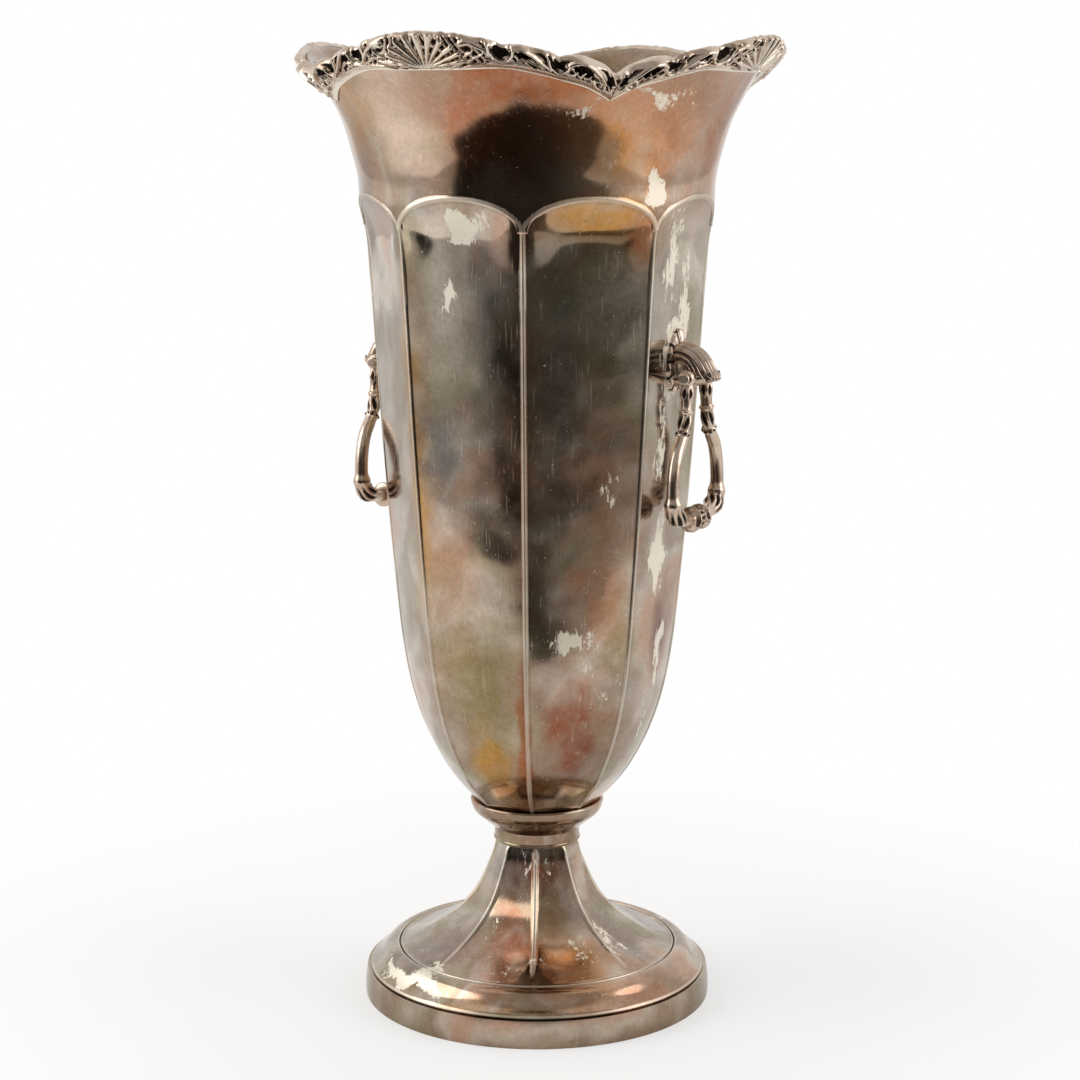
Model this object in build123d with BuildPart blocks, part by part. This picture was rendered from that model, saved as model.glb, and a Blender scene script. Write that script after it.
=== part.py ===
from build123d import *
import math
import os

# A silver-plated trumpet vase on a spreading foot. The raised body has eight
# flat panels between ribs and a wide mouth with a cast border. Two drop
# handles hang on scroll bosses. A stud and nut hold the body to the foot.
# Lengths are in millimetres. The origin is the centre of the foot's underside.

# Overall make-up of the stack, from the table upwards
foot_radius = 73.4
foot_band_height = 11.4
foot_shell_height = 54.9
neck_ring_height = 5.7
neck_collar_height = 12.5
body_height = 314.5
panel_count = 8
handle_count = 2

# Body
shoulder_radius = 72.2
body_sheet = 1.5
rib_width = 2.2
arch_spring_height = 241.0
arch_rise = 12.6
crest_radius = 70.2

# Rim border
border_thickness = 3.0
border_stand = 1.0
border_seam = 0.2
solder_gap = 0.1
border_turn = 1.0
border_lean = 45.0
border_count = 4
scallop_depth = 13.4
skirt_depth = 11.8
fan_rib_count = 9
fan_rib_radius = 1.2
fan_root_radius = 2.2
fan_rib_length = 12.5
fan_rib_sink = 0.4
fan_root_rise = 2.6
fan_spread = 118.0
volute_radius = 2.4
volute_wire = 0.9
volute_rise = 6.0
volute_offset = 4.8

# Foot
foot_sheet = 1.8
foot_turn = 2.5
foot_rib_width = 1.8
neck_radius = 16.7
groove_radius = 58.7
groove_depth = 0.9
band_wall = 4.2
band_set_in = 0.8
band_belly = 0.4
foot_top_plate = 2.0

# Neck fittings
neck_ring_radius = 18.0
neck_ring_bead = 0.8
collar_radius = 28.3
stud_radius = 3.0
stud_flange_radius = 9.0
stud_flange_height = 2.0
stud_length = 30.5
stud_clearance = 0.25
stud_chamfer = 0.25
thread_fit = 0.05
washer_radius = 8.0
washer_height = 1.2
nut_flats = 10.0
nut_height = 5.0

# Handle bosses, pins and drop loops
pin_height = 267.0
pin_reach = 71.5
pin_radius = 1.3
pin_fit = 0.05
pin_head_radius = 2.3
pin_head_height = 1.4
side_gap = 0.3
boss_width = 13.0
scroll_radius = 9.0
scroll_rise = 3.3
scroll_setback = 1.0
leaf_width = 9.6
leaf_thickness = 0.9
leaf_tip_length = 3.0
plate_width = 17.0
plate_height = 27.0
plate_thickness = 3.2
plate_drop = 9.0
eye_width = 5.0
eye_radius = 3.1
rod_radius = 2.5
loop_height = 57.5
loop_width = 43.0
corner_ball_radius = 3.3
collar_ring_radius = 3.1
collar_ring_height = 1.6
roll_radius = 4.2
roll_length = 8.0
roll_band_radius = 4.8
roll_band_width = 1.2

# One overrun serves every cut that passes through a face
overrun = 3.0

# Heights that follow from the stack
foot_height = foot_band_height + foot_shell_height
ring_top = foot_height + neck_ring_height
body_base = ring_top + neck_collar_height
body_top = body_base + body_height
border_top = body_top + border_stand
arch_spring = body_base + arch_spring_height

# Hole that clears the stud in every piece that it passes through
stud_hole = stud_radius + stud_clearance

# Outlines as shares of the sizes that they follow, chosen by hand.
# Body: (height share of the body, radius share of the shoulder)
body_shares = [
    (0.000, 0.374),
    (0.037, 0.511),
    (0.075, 0.608),
    (0.120, 0.690),
    (0.183, 0.759),
    (0.326, 0.832),
    (0.480, 0.887),
    (0.631, 0.931),
    (0.700, 0.951),
    (0.752, 0.974),
    (0.790, 0.999),
    (0.830, 1.009),
    (0.862, 1.042),
    (0.900, 1.093),
    (0.930, 1.158),
    (0.962, 1.242),
    (1.000, 1.372),
]

# Radius of the middle of a panel over the radius of the ribs beside it
panel_flat_share = 0.92

# Cove at a panel's head: (height share of the arch rise, share of the way
# from the flat panel to the crest)
cove_shares = [(-1.30, 0.10), (-0.30, 0.34), (0.40, 0.68), (1.00, 1.00), (1.60, 1.32)]

# The flat panel's outline stops this share of the cove's depth below the arch
cove_lead_share = 1.6

# Foot: (height share of the shell, radius share from the neck to the groove)
foot_cone_shares = [
    (1.000, 0.000),
    (0.898, 0.031),
    (0.811, 0.076),
    (0.682, 0.150),
    (0.552, 0.255),
    (0.424, 0.414),
    (0.318, 0.600),
    (0.235, 0.800),
    (0.170, 1.000),
]

# Ogee moulding between the two grooves: (height share of the shell, radius
# share from the inner groove to the foot's edge)
foot_ogee_shares = [(0.165, 0.06), (0.162, 0.28), (0.125, 0.56), (0.070, 0.76), (0.012, 0.86)]

# Middle of a foot panel over the radius of its ribs, from the neck down
foot_flat_shares = [0.950, 0.938, 0.929, 0.924, 0.922, 0.922, 0.926, 0.946, 0.985]

# Border section: (height share of the body, radius share of the shoulder,
# share of the border's thickness)
border_shares = [
    (0.900, 1.093, 0.45),
    (0.930, 1.158, 0.80),
    (0.962, 1.242, 1.10),
    (1.000, 1.372, 1.10),
    (1.015, 1.430, 0.80),
]

# Border top edge: (share of the mouth radius sideways from the low, share of
# the scallop depth down from the shells)
scallop_shares = [(0.00, 1.00), (0.12, 0.72), (0.27, 0.56), (0.40, 0.36), (0.52, 0.16), (0.70, 0.00)]

# Border lower edge: the same shares, of the skirt depth above the low's tip
skirt_shares = [(0.00, 0.00), (0.10, 0.36), (0.22, 0.62), (0.36, 0.88), (0.46, 1.00), (0.62, 0.96)]

# Collar cove: (height share, radius share from the neck ring to the lip)
collar_shares = [(0.00, 0.02), (0.20, 0.30), (0.40, 0.60), (0.58, 0.84), (0.80, 0.96), (1.00, 1.00)]

# Half of the drop loop: (sideways share of the loop width, share of the drop
# below the pin), from the eye to the middle of the bottom bar
loop_shares = [(0.245, 0.22), (0.280, 0.37), (0.465, 0.50), (0.500, 0.72), (0.480, 0.90), (0.250, 1.00)]
loop_bend_shares = [0.40, 0.13, 0.16, 0.50, 0.12, 0.30]
upper_ring_shares = [(0.250, 0.24), (0.268, 0.32)]


def upright(angle):
    """Plane through the vase's axis: local x runs outwards, local y upwards."""
    a = math.radians(angle)
    return Plane(origin=(0, 0, 0), x_dir=(math.cos(a), math.sin(a), 0), z_dir=(math.sin(a), -math.cos(a), 0))


def facing(angle, reach=0, height=0):
    """Plane that faces outwards: local x runs sideways, local y upwards."""
    a = math.radians(angle)
    place = (reach * math.cos(a), reach * math.sin(a), height)
    return Plane(origin=place, x_dir=(-math.sin(a), math.cos(a), 0), z_dir=(math.cos(a), math.sin(a), 0))


def inset(points, depth):
    """Move an outline of (radius, height) points inwards, square to itself."""
    moved = []
    for i, (r, z) in enumerate(points):
        r0, z0 = points[max(i - 1, 0)]
        r1, z1 = points[min(i + 1, len(points) - 1)]
        run = math.hypot(r1 - r0, z1 - z0)
        moved.append((r - depth * abs(z1 - z0) / run, z + depth * (r1 - r0) / run * (1 if z1 > z0 else -1)))
    return moved


def make_revolved(points, rise=0.0):
    """Solid of revolution under a spline outline, closed on the axis, with an upright rise at its top."""
    top = points[-1][1] + rise
    corners = [(points[-1][0], top)] if rise else []
    with BuildPart() as solid:
        with BuildSketch(Plane.XZ):
            with BuildLine():
                edge = Spline(*points)
                Polyline(edge @ 1, *corners, (0, top), (0, points[0][1]), edge @ 0)
            make_face()
        revolve(axis=Axis.Z)
    return solid.part


def make_ring(points, bore):
    """Ring of straight-sided section with a bore through it."""
    with BuildPart() as ring:
        with BuildSketch(Plane.XZ):
            with BuildLine():
                Polyline((bore, points[0][1]), *points, (bore, points[-1][1]), close=True)
            make_face()
        revolve(axis=Axis.Z)
    return ring.part


def make_panel_cutter(curve, sides, spring, rise, reach):
    """What a panel takes away: outside its curve, and inside its frame."""
    low = curve[0][1]
    with BuildPart() as cutter:
        with BuildSketch(upright(0)):
            with BuildLine():
                edge = Spline(*curve)
                Polyline(edge @ 1, (reach, curve[-1][1]), (reach, low), edge @ 0)
            make_face()
        extrude(amount=reach, both=True)
        with BuildSketch(facing(0)):
            with BuildLine():
                right = Spline(*sides)
                left = Spline(*[(-w, z) for w, z in sides])
                Line(left @ 0, right @ 0)
                if rise:
                    EllipticalCenterArc((0, spring), sides[-1][0], rise, arc_size=180)
                else:
                    Line(right @ 1, left @ 1)
            make_face()
        extrude(amount=reach, mode=Mode.INTERSECT)
    return cutter.part


def half_widths(outline, rib):
    """Half the width of a panel up its height, between two ribs."""
    sine = math.sin(math.radians(half_turn))
    return [(r * sine - rib / 2, z) for r, z in outline]


def radius_at(points, height):
    """Radius of an outline at a height, read straight between its points."""
    for (r0, z0), (r1, z1) in zip(points, points[1:]):
        if z0 <= height <= z1:
            return r0 + (r1 - r0) * (height - z0) / (z1 - z0)
    return points[-1][0]


half_turn = 180 / panel_count
mouth_radius = shoulder_radius * body_shares[-1][1]

# Body outline, the ribs up to the arches, and the flat panel with its cove
body_outline = [(shoulder_radius * r, body_base + body_height * z) for z, r in body_shares]
cove_start = arch_spring + cove_lead_share * cove_shares[0][0] * arch_rise
flat_outline = [(r * panel_flat_share, z) for r, z in body_outline if z < cove_start]
flat_radius = flat_outline[-1][0]
cove_outline = [
    (flat_radius + (crest_radius - flat_radius) * share, arch_spring + arch_rise * z)
    for z, share in cove_shares
]
panel_outline = flat_outline + cove_outline
rib_outline = [(r, z) for r, z in body_outline if z < arch_spring]
rib_outline.append((radius_at(body_outline, arch_spring), arch_spring))

# The hollow's arches sit higher, so that the sheet stays whole at the step
inner_lift = 2 * body_sheet
inner_ribs = [(r, z + inner_lift * (z == arch_spring)) for r, z in rib_outline]

with BuildPart() as body_hollow:
    add(make_revolved(inset(body_outline, body_sheet)))
    with PolarLocations(0, panel_count):
        add(make_panel_cutter(
            inset(panel_outline, body_sheet),
            half_widths(inset(inner_ribs, body_sheet), -body_sheet),
            inset(inner_ribs, body_sheet)[-1][1],
            arch_rise,
            mouth_radius,
        ), mode=Mode.SUBTRACT)

# Edge between two shells, seen square to the mouth
scallop_edge = [(mouth_radius * x, body_top - scallop_depth * y) for x, y in scallop_shares]
skirt_low = border_top - scallop_depth - skirt_depth
skirt_edge = [(mouth_radius * x, skirt_low + skirt_depth * y) for x, y in skirt_shares]

with BuildPart() as body_shell:
    add(make_revolved(body_outline))
    with PolarLocations(0, panel_count):
        add(make_panel_cutter(
            panel_outline, half_widths(rib_outline, rib_width), arch_spring, arch_rise, mouth_radius
        ), mode=Mode.SUBTRACT)
    add(body_hollow.part, mode=Mode.SUBTRACT)
    for k in range(border_count):
        with BuildSketch(facing(border_turn + (k + 0.5) * 360 / border_count)):
            with BuildLine():
                right = Spline(*scallop_edge)
                left = Spline(*[(-x, z) for x, z in scallop_edge])
                Polyline(right @ 1, (right @ 1) + (0, overrun), (left @ 1) + (0, overrun), left @ 1)
            make_face()
        extrude(amount=mouth_radius + overrun, mode=Mode.SUBTRACT)
body_shell.part.label = "body_shell"

# Cast border, in four lengths that meet at the lows between the shells
wall_cover = make_revolved(inset(body_outline, -solder_gap), 2 * solder_gap)
border_back = [(shoulder_radius * r, body_base + body_height * z) for z, r, t in border_shares]
lean_out = border_thickness * math.cos(math.radians(border_lean))
lean_down = border_thickness * math.sin(math.radians(border_lean))
border_face = [
    (r + lean_out * t, z - lean_down * t)
    for (r, z), (_, _, t) in zip(border_back, border_shares)
]


def face_plane(angle, height, lift=0.0):
    """Plane on the border's face, square to it: local y runs up the face."""
    a = math.radians(angle)
    low = radius_at(border_face, height - border_thickness)
    high = radius_at(border_face, height + border_thickness)
    slope = math.atan2(high - low, 2 * border_thickness)
    out = Vector(math.cos(a), math.sin(a), 0)
    normal = out * math.cos(slope) - Vector(0, 0, 1) * math.sin(slope)
    place = out * radius_at(border_face, height) + Vector(0, 0, height) + normal * lift
    return Plane(origin=place, x_dir=(-math.sin(a), math.cos(a), 0), z_dir=normal)


def make_border(shell_angle):
    """One cast length: half is drawn from the shell to a low, then mirrored."""
    sector = 180 / border_count
    seam_angle = math.degrees(border_seam / mouth_radius)
    with BuildPart() as half:
        with BuildSketch(upright(shell_angle)):
            with BuildLine():
                back = Spline(*[(r - border_thickness / 2, z) for r, z in border_back])
                face = Spline(*border_face)
                Line(back @ 0, face @ 0)
                Line(back @ 1, face @ 1)
            make_face()
        revolve(axis=Axis.Z, revolution_arc=sector - seam_angle)
        reach = mouth_radius + border_thickness + overrun
        above = border_back[-1][1] + overrun
        below = border_face[0][1] - overrun
        with BuildSketch(facing(shell_angle + sector)):
            with BuildLine():
                top = Spline(*[(-x, z + border_stand) for x, z in scallop_edge])
                Polyline(top @ 0, (0, above), (-reach, above), (-reach, border_top), top @ 1)
            make_face()
            with BuildLine():
                skirt = Spline(*[(-x, z) for x, z in skirt_edge])
                Polyline(skirt @ 0, (0, below), (-reach, below), (-reach, (skirt @ 1).Y), skirt @ 1)
            make_face()
        extrude(amount=reach, mode=Mode.SUBTRACT)
    root_height = skirt_low + skirt_depth + fan_root_rise
    with BuildPart() as border:
        add(half.part)
        mirror(half.part, about=upright(shell_angle))
        root = face_plane(shell_angle, root_height, -fan_rib_sink)
        for i in range(fan_rib_count):
            turn = fan_spread * (i / (fan_rib_count - 1) - 0.5)
            along = root.x_dir * math.sin(math.radians(turn)) + root.y_dir * math.cos(math.radians(turn))
            with Locations(Plane(origin=root.origin, z_dir=along)):
                Cone(
                    bottom_radius=fan_rib_radius / 2,
                    top_radius=fan_rib_radius,
                    height=fan_rib_length,
                    align=(Align.CENTER, Align.CENTER, Align.MIN),
                )
        with Locations(root):
            Sphere(fan_root_radius)
        for side in (-1, 1):
            offset = math.degrees(volute_offset / mouth_radius)
            volute_angle = shell_angle + side * (sector - offset)
            with Locations(face_plane(volute_angle, skirt_low + volute_rise)):
                Torus(volute_radius, volute_wire)
        add(wall_cover, mode=Mode.SUBTRACT)
    return border.part


borders = []
for k, side in enumerate(("right", "back", "left", "front")):
    border = make_border(border_turn + k * 360 / border_count)
    border.label = "rim_border_" + side
    borders.append(border)

# Foot: a fluted cone, a groove and an ogee moulding, spun from one sheet
cone_outline = [
    (neck_radius + (groove_radius - neck_radius) * r, foot_band_height + foot_shell_height * z)
    for z, r in foot_cone_shares
]
ogee_outline = [
    (groove_radius + (foot_radius - groove_radius) * r, foot_band_height + foot_shell_height * z)
    for z, r in foot_ogee_shares
]
flute_outline = [(r * flat, z) for (r, z), flat in zip(cone_outline, foot_flat_shares)]
groove_floor = cone_outline[-1][1] - groove_depth
groove_floor_edge = (groove_radius + ogee_outline[0][0]) / 2


def make_flutes(sheet, rib):
    """Cutter for the flat between two ribs of the foot."""
    curve = inset(flute_outline, sheet)[::-1]
    sides = half_widths(inset(cone_outline, sheet)[::-1], rib)
    return make_panel_cutter(curve, sides, foot_height, 0, foot_radius)


hollow_top = (neck_radius - foot_sheet, foot_height - foot_top_plate)
hollow_outline = [hollow_top] + inset(cone_outline, foot_sheet)[1:] + inset(ogee_outline, foot_sheet)[1:]
with BuildPart() as foot_hollow:
    add(make_revolved(hollow_outline))
    with PolarLocations(0, panel_count, start_angle=foot_turn):
        add(make_flutes(foot_sheet, -foot_sheet), mode=Mode.SUBTRACT)

with BuildPart() as foot_shell:
    with BuildSketch(Plane.XZ):
        with BuildLine():
            cone = Spline(*cone_outline)
            ogee = Spline(*ogee_outline)
            Polyline(cone @ 1, (groove_floor_edge, groove_floor), ogee @ 0)
            Polyline(
                ogee @ 1,
                (ogee_outline[-1][0], foot_band_height),
                (0, foot_band_height),
                (0, foot_height),
                cone @ 0,
            )
        make_face()
    revolve(axis=Axis.Z)
    with PolarLocations(0, panel_count, start_angle=foot_turn):
        add(make_flutes(0, foot_rib_width), mode=Mode.SUBTRACT)
    add(foot_hollow.part, mode=Mode.SUBTRACT)
    with BuildSketch(Plane.XY.offset(foot_height)):
        Circle(stud_hole)
    extrude(amount=-foot_top_plate - overrun, mode=Mode.SUBTRACT)
foot_shell.part.label = "foot_shell"

# Plain band round the foot, slightly bellied, under the moulding
band_inner = foot_radius - band_wall
band_top = foot_radius - band_set_in
with BuildPart() as foot_band:
    with BuildSketch(Plane.XZ):
        with BuildLine():
            ThreePointArc(
                (foot_radius, 0),
                ((foot_radius + band_top) / 2 + band_belly, foot_band_height / 2),
                (band_top, foot_band_height),
            )
            Polyline(
                (band_top, foot_band_height),
                (band_inner, foot_band_height),
                (band_inner, 0),
                (foot_radius, 0),
            )
        make_face()
    revolve(axis=Axis.Z)
foot_band.part.label = "foot_band"

# Neck: a ring with a bead, and a collar whose cove spreads up to a lip
with BuildPart() as neck_ring:
    add(make_ring([(neck_ring_radius, foot_height), (neck_ring_radius, ring_top)], stud_hole))
    with Locations((0, 0, foot_height + neck_ring_bead)):
        Torus(neck_ring_radius - neck_ring_bead / 2, neck_ring_bead)
neck_ring.part.label = "neck_ring"

with BuildPart() as neck_collar:
    with BuildSketch(Plane.XZ):
        with BuildLine():
            cove = Spline(*[
                (
                    neck_ring_radius + (collar_radius - neck_ring_radius) * r,
                    ring_top + neck_collar_height * z,
                )
                for z, r in collar_shares
            ])
            Polyline(cove @ 1, (stud_hole, body_base), (stud_hole, ring_top), cove @ 0)
        make_face()
    revolve(axis=Axis.Z)
    fillet(neck_collar.edges().filter_by(GeomType.CIRCLE).sort_by(SortBy.RADIUS)[-1], neck_ring_bead)
    with BuildSketch(Plane.XY.offset(body_base)):
        Circle(stud_flange_radius + stud_clearance)
    extrude(amount=-stud_flange_height - stud_clearance, mode=Mode.SUBTRACT)
neck_collar.part.label = "neck_collar"

# Stud soldered under the body, with its washer and nut inside the foot
with BuildPart() as body_stud:
    with BuildSketch(Plane.XY.offset(body_base)):
        Circle(stud_flange_radius)
    extrude(amount=-stud_flange_height)
    with BuildSketch(Plane.XY.offset(body_base - stud_flange_height)):
        Circle(stud_radius)
    extrude(amount=-stud_length)
    chamfer(body_stud.edges().group_by(Axis.Z)[0], stud_chamfer)
body_stud.part.label = "body_stud"

washer_top = foot_height - foot_top_plate
with BuildPart() as stud_washer:
    with BuildSketch(Plane.XY.offset(washer_top)):
        Circle(washer_radius)
        Circle(stud_hole, mode=Mode.SUBTRACT)
    extrude(amount=-washer_height)
stud_washer.part.label = "stud_washer"

with BuildPart() as stud_nut:
    with BuildSketch(Plane.XY.offset(washer_top - washer_height)):
        RegularPolygon(nut_flats / 2, 6, major_radius=False)
        Circle(stud_radius + thread_fit, mode=Mode.SUBTRACT)
    extrude(amount=-nut_height)
stud_nut.part.label = "stud_nut"


# The panel's own outline, one solder gap further out, trims the bosses' backs
with BuildPart() as boss_seat_part:
    with BuildSketch(upright(0)):
        with BuildLine():
            seat = Spline(*inset(panel_outline, -solder_gap))
            Polyline(seat @ 1, (0, (seat @ 1).Y), (0, (seat @ 0).Y), seat @ 0)
        make_face()
    extrude(amount=pin_reach, both=True)
boss_seat = boss_seat_part.part


def make_boss(angle):
    """Scroll boss: a wall plate, a scroll with a leaf over it, and the pin's bore."""
    centre = (pin_reach - scroll_setback, pin_height + scroll_rise)
    tip = centre[0] + scroll_radius + leaf_thickness + leaf_tip_length
    with BuildPart() as boss:
        with BuildSketch(upright(angle)):
            with Locations(centre):
                Circle(scroll_radius)
            with BuildLine():
                Polyline(
                    centre,
                    (centre[0], centre[1] + scroll_radius),
                    (centre[0] - 2 * scroll_radius, centre[1] + scroll_radius),
                    (centre[0] - 2 * scroll_radius, centre[1] - scroll_radius / 2),
                    close=True,
                )
            make_face()
        extrude(amount=boss_width / 2, both=True)
        with BuildSketch(upright(angle)):
            with Locations(centre):
                Circle(scroll_radius + leaf_thickness)
            with BuildLine():
                Polyline(
                    (centre[0] + scroll_radius, centre[1]),
                    (tip, pin_height),
                    (centre[0] + scroll_radius / 2, pin_height - leaf_tip_length),
                    close=True,
                )
            make_face()
        extrude(amount=leaf_width / 2, both=True)
        with BuildSketch(facing(angle, pin_reach - scroll_radius - plate_thickness)):
            with Locations((0, pin_height - plate_drop + plate_height / 2)):
                Ellipse(plate_width / 2, plate_height / 2)
        extrude(amount=plate_thickness, both=True)
        add(boss_seat.rotate(Axis.Z, angle), mode=Mode.SUBTRACT)
        with Locations(facing(angle, pin_reach, pin_height)):
            Cylinder(pin_radius + pin_fit, plate_width + overrun, rotation=(0, 90, 0), mode=Mode.SUBTRACT)
    return boss.part


eye_centre = boss_width / 2 + side_gap + eye_width / 2
eye_outside = eye_centre + eye_width / 2


def make_pin(angle):
    """Pin through the boss and both eyes, with a domed head at each end."""
    with BuildPart() as pin:
        with Locations(facing(angle, pin_reach, pin_height)):
            Cylinder(pin_radius, 2 * (eye_outside + side_gap) + pin_head_height, rotation=(0, 90, 0))
            for side in (-1, 1):
                with Locations((side * (eye_outside + side_gap + pin_head_height / 2), 0)):
                    Cylinder(pin_head_radius, pin_head_height, rotation=(0, 90, 0))
        rims = pin.edges().filter_by(GeomType.CIRCLE).sort_by(Axis((0, 0, 0), facing(angle).x_dir))
        fillet([rims[0], rims[-1]], pin_head_height / 2)
    return pin.part


def make_loop(angle):
    """Drop loop: rods that spread below the eyes, joined by a rolled grip."""
    hang = facing(angle, pin_reach, pin_height)
    half = [(loop_width * x, -loop_height * y) for x, y in loop_shares]
    route = [(-eye_centre, 0)] + [(-x, y) for x, y in half] + half[::-1] + [(eye_centre, 0)]
    bends = [loop_width * b for b in loop_bend_shares]
    with BuildPart() as loop:
        with BuildLine(hang) as path:
            FilletPolyline(*route, radius=bends + bends[::-1])
        with BuildSketch(Plane(origin=path.line @ 0, z_dir=path.line % 0)):
            Circle(rod_radius)
        sweep()
        with Locations(hang):
            for side in (-1, 1):
                with Locations((side * eye_centre, 0)):
                    Cylinder(eye_radius, eye_width, rotation=(0, 90, 0))
                with Locations((side * half[-2][0], half[-2][1])):
                    Sphere(corner_ball_radius, rotation=(0, 0, 90 - 90 * side))
                for x, y in upper_ring_shares:
                    with Locations((side * loop_width * x, -loop_height * y)):
                        Cylinder(collar_ring_radius, collar_ring_height, rotation=(90, 0, 0))
            with Locations((0, half[-1][1])):
                Cylinder(roll_radius, roll_length, rotation=(0, 90, 0))
                for side in (-1, 1):
                    with Locations((side * roll_length / 2, 0)):
                        Cylinder(roll_band_radius, roll_band_width, rotation=(0, 90, 0))
            Cylinder(
                pin_radius + pin_fit,
                2 * (eye_outside + side_gap),
                rotation=(0, 90, 0),
                mode=Mode.SUBTRACT,
            )
    return loop.part


handle_parts = []
for k, side in enumerate(("right", "left")):
    angle = k * 360 / handle_count
    for name, maker in (("handle_boss", make_boss), ("handle_pin", make_pin), ("handle_loop", make_loop)):
        piece = maker(angle)
        piece.label = name + "_" + side
        handle_parts.append(piece)

os.makedirs("parts", exist_ok=True)
export_step(body_shell.part, "parts/body_shell.step")
export_step(foot_shell.part, "parts/foot_shell.step")
export_step(foot_band.part, "parts/foot_band.step")
export_step(neck_ring.part, "parts/neck_ring.step")
export_step(neck_collar.part, "parts/neck_collar.step")
export_step(body_stud.part, "parts/body_stud.step")
export_step(stud_washer.part, "parts/stud_washer.step")
export_step(stud_nut.part, "parts/stud_nut.step")
for piece in borders + handle_parts:
    export_step(piece, "parts/" + piece.label + ".step")
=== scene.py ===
import math

import bpy
import numpy as np
from bpy.props import FloatProperty, FloatVectorProperty, IntProperty, PointerProperty
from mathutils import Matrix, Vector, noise


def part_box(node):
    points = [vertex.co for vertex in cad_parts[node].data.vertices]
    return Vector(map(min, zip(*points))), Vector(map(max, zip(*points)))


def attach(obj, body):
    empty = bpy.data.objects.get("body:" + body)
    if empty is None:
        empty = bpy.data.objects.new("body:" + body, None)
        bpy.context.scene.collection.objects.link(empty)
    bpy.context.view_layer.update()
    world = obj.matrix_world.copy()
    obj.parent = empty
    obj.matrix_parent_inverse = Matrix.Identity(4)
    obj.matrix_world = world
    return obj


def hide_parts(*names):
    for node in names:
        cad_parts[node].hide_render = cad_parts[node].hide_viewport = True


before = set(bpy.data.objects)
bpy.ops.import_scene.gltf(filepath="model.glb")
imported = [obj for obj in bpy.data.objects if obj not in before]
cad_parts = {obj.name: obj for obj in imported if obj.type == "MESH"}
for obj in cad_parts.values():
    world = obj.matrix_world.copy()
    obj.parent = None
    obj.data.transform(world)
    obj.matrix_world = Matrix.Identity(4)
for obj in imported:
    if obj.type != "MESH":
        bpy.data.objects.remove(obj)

bl_info = {
    "name": "Trumpet Vase",
    "version": (1, 0, 0),
    "blender": (4, 5, 0),
    "location": "3D View > Sidebar > Vase",
    "description": "Builds a silver-plated trumpet vase with a carved border and drop handles around its frame",
    "category": "Add Mesh",
}

MM = 0.001
BODY_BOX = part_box("body_shell")
FOOT_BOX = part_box("foot_shell")
LOOP_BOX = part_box("handle_loop_right")
PIN_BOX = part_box("handle_pin_right")
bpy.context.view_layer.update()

# Outline of the body: share of its height, share of the shoulder's radius
BODY_SHARES = [
    (0.000, 0.374), (0.037, 0.511), (0.075, 0.608), (0.120, 0.690), (0.183, 0.759), (0.326, 0.832),
    (0.480, 0.887), (0.631, 0.931), (0.700, 0.951), (0.752, 0.974), (0.790, 0.999), (0.830, 1.009),
    (0.862, 1.042), (0.900, 1.093), (0.930, 1.158), (0.962, 1.242), (1.000, 1.372),
]

# Edge between two shells: share of the mouth's radius sideways from the low, share of the scallop's depth
SCALLOP_SHARES = [(0.00, 1.00), (0.12, 0.72), (0.27, 0.56), (0.40, 0.36), (0.52, 0.16), (0.70, 0.00)]
SKIRT_SHARES = [(0.00, 0.00), (0.10, 0.36), (0.22, 0.62), (0.36, 0.88), (0.46, 1.00), (0.62, 0.96)]

# Outline of the foot's cone: share of the shell's height, share of the way from the neck to the groove
CONE_SHARES = [
    (1.000, 0.000), (0.898, 0.031), (0.811, 0.076), (0.682, 0.150), (0.552, 0.255), (0.424, 0.414),
    (0.318, 0.600), (0.235, 0.800), (0.170, 1.000),
]
CONE_FLAT_SHARES = [0.950, 0.938, 0.929, 0.924, 0.922, 0.922, 0.926, 0.946, 0.985]


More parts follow.
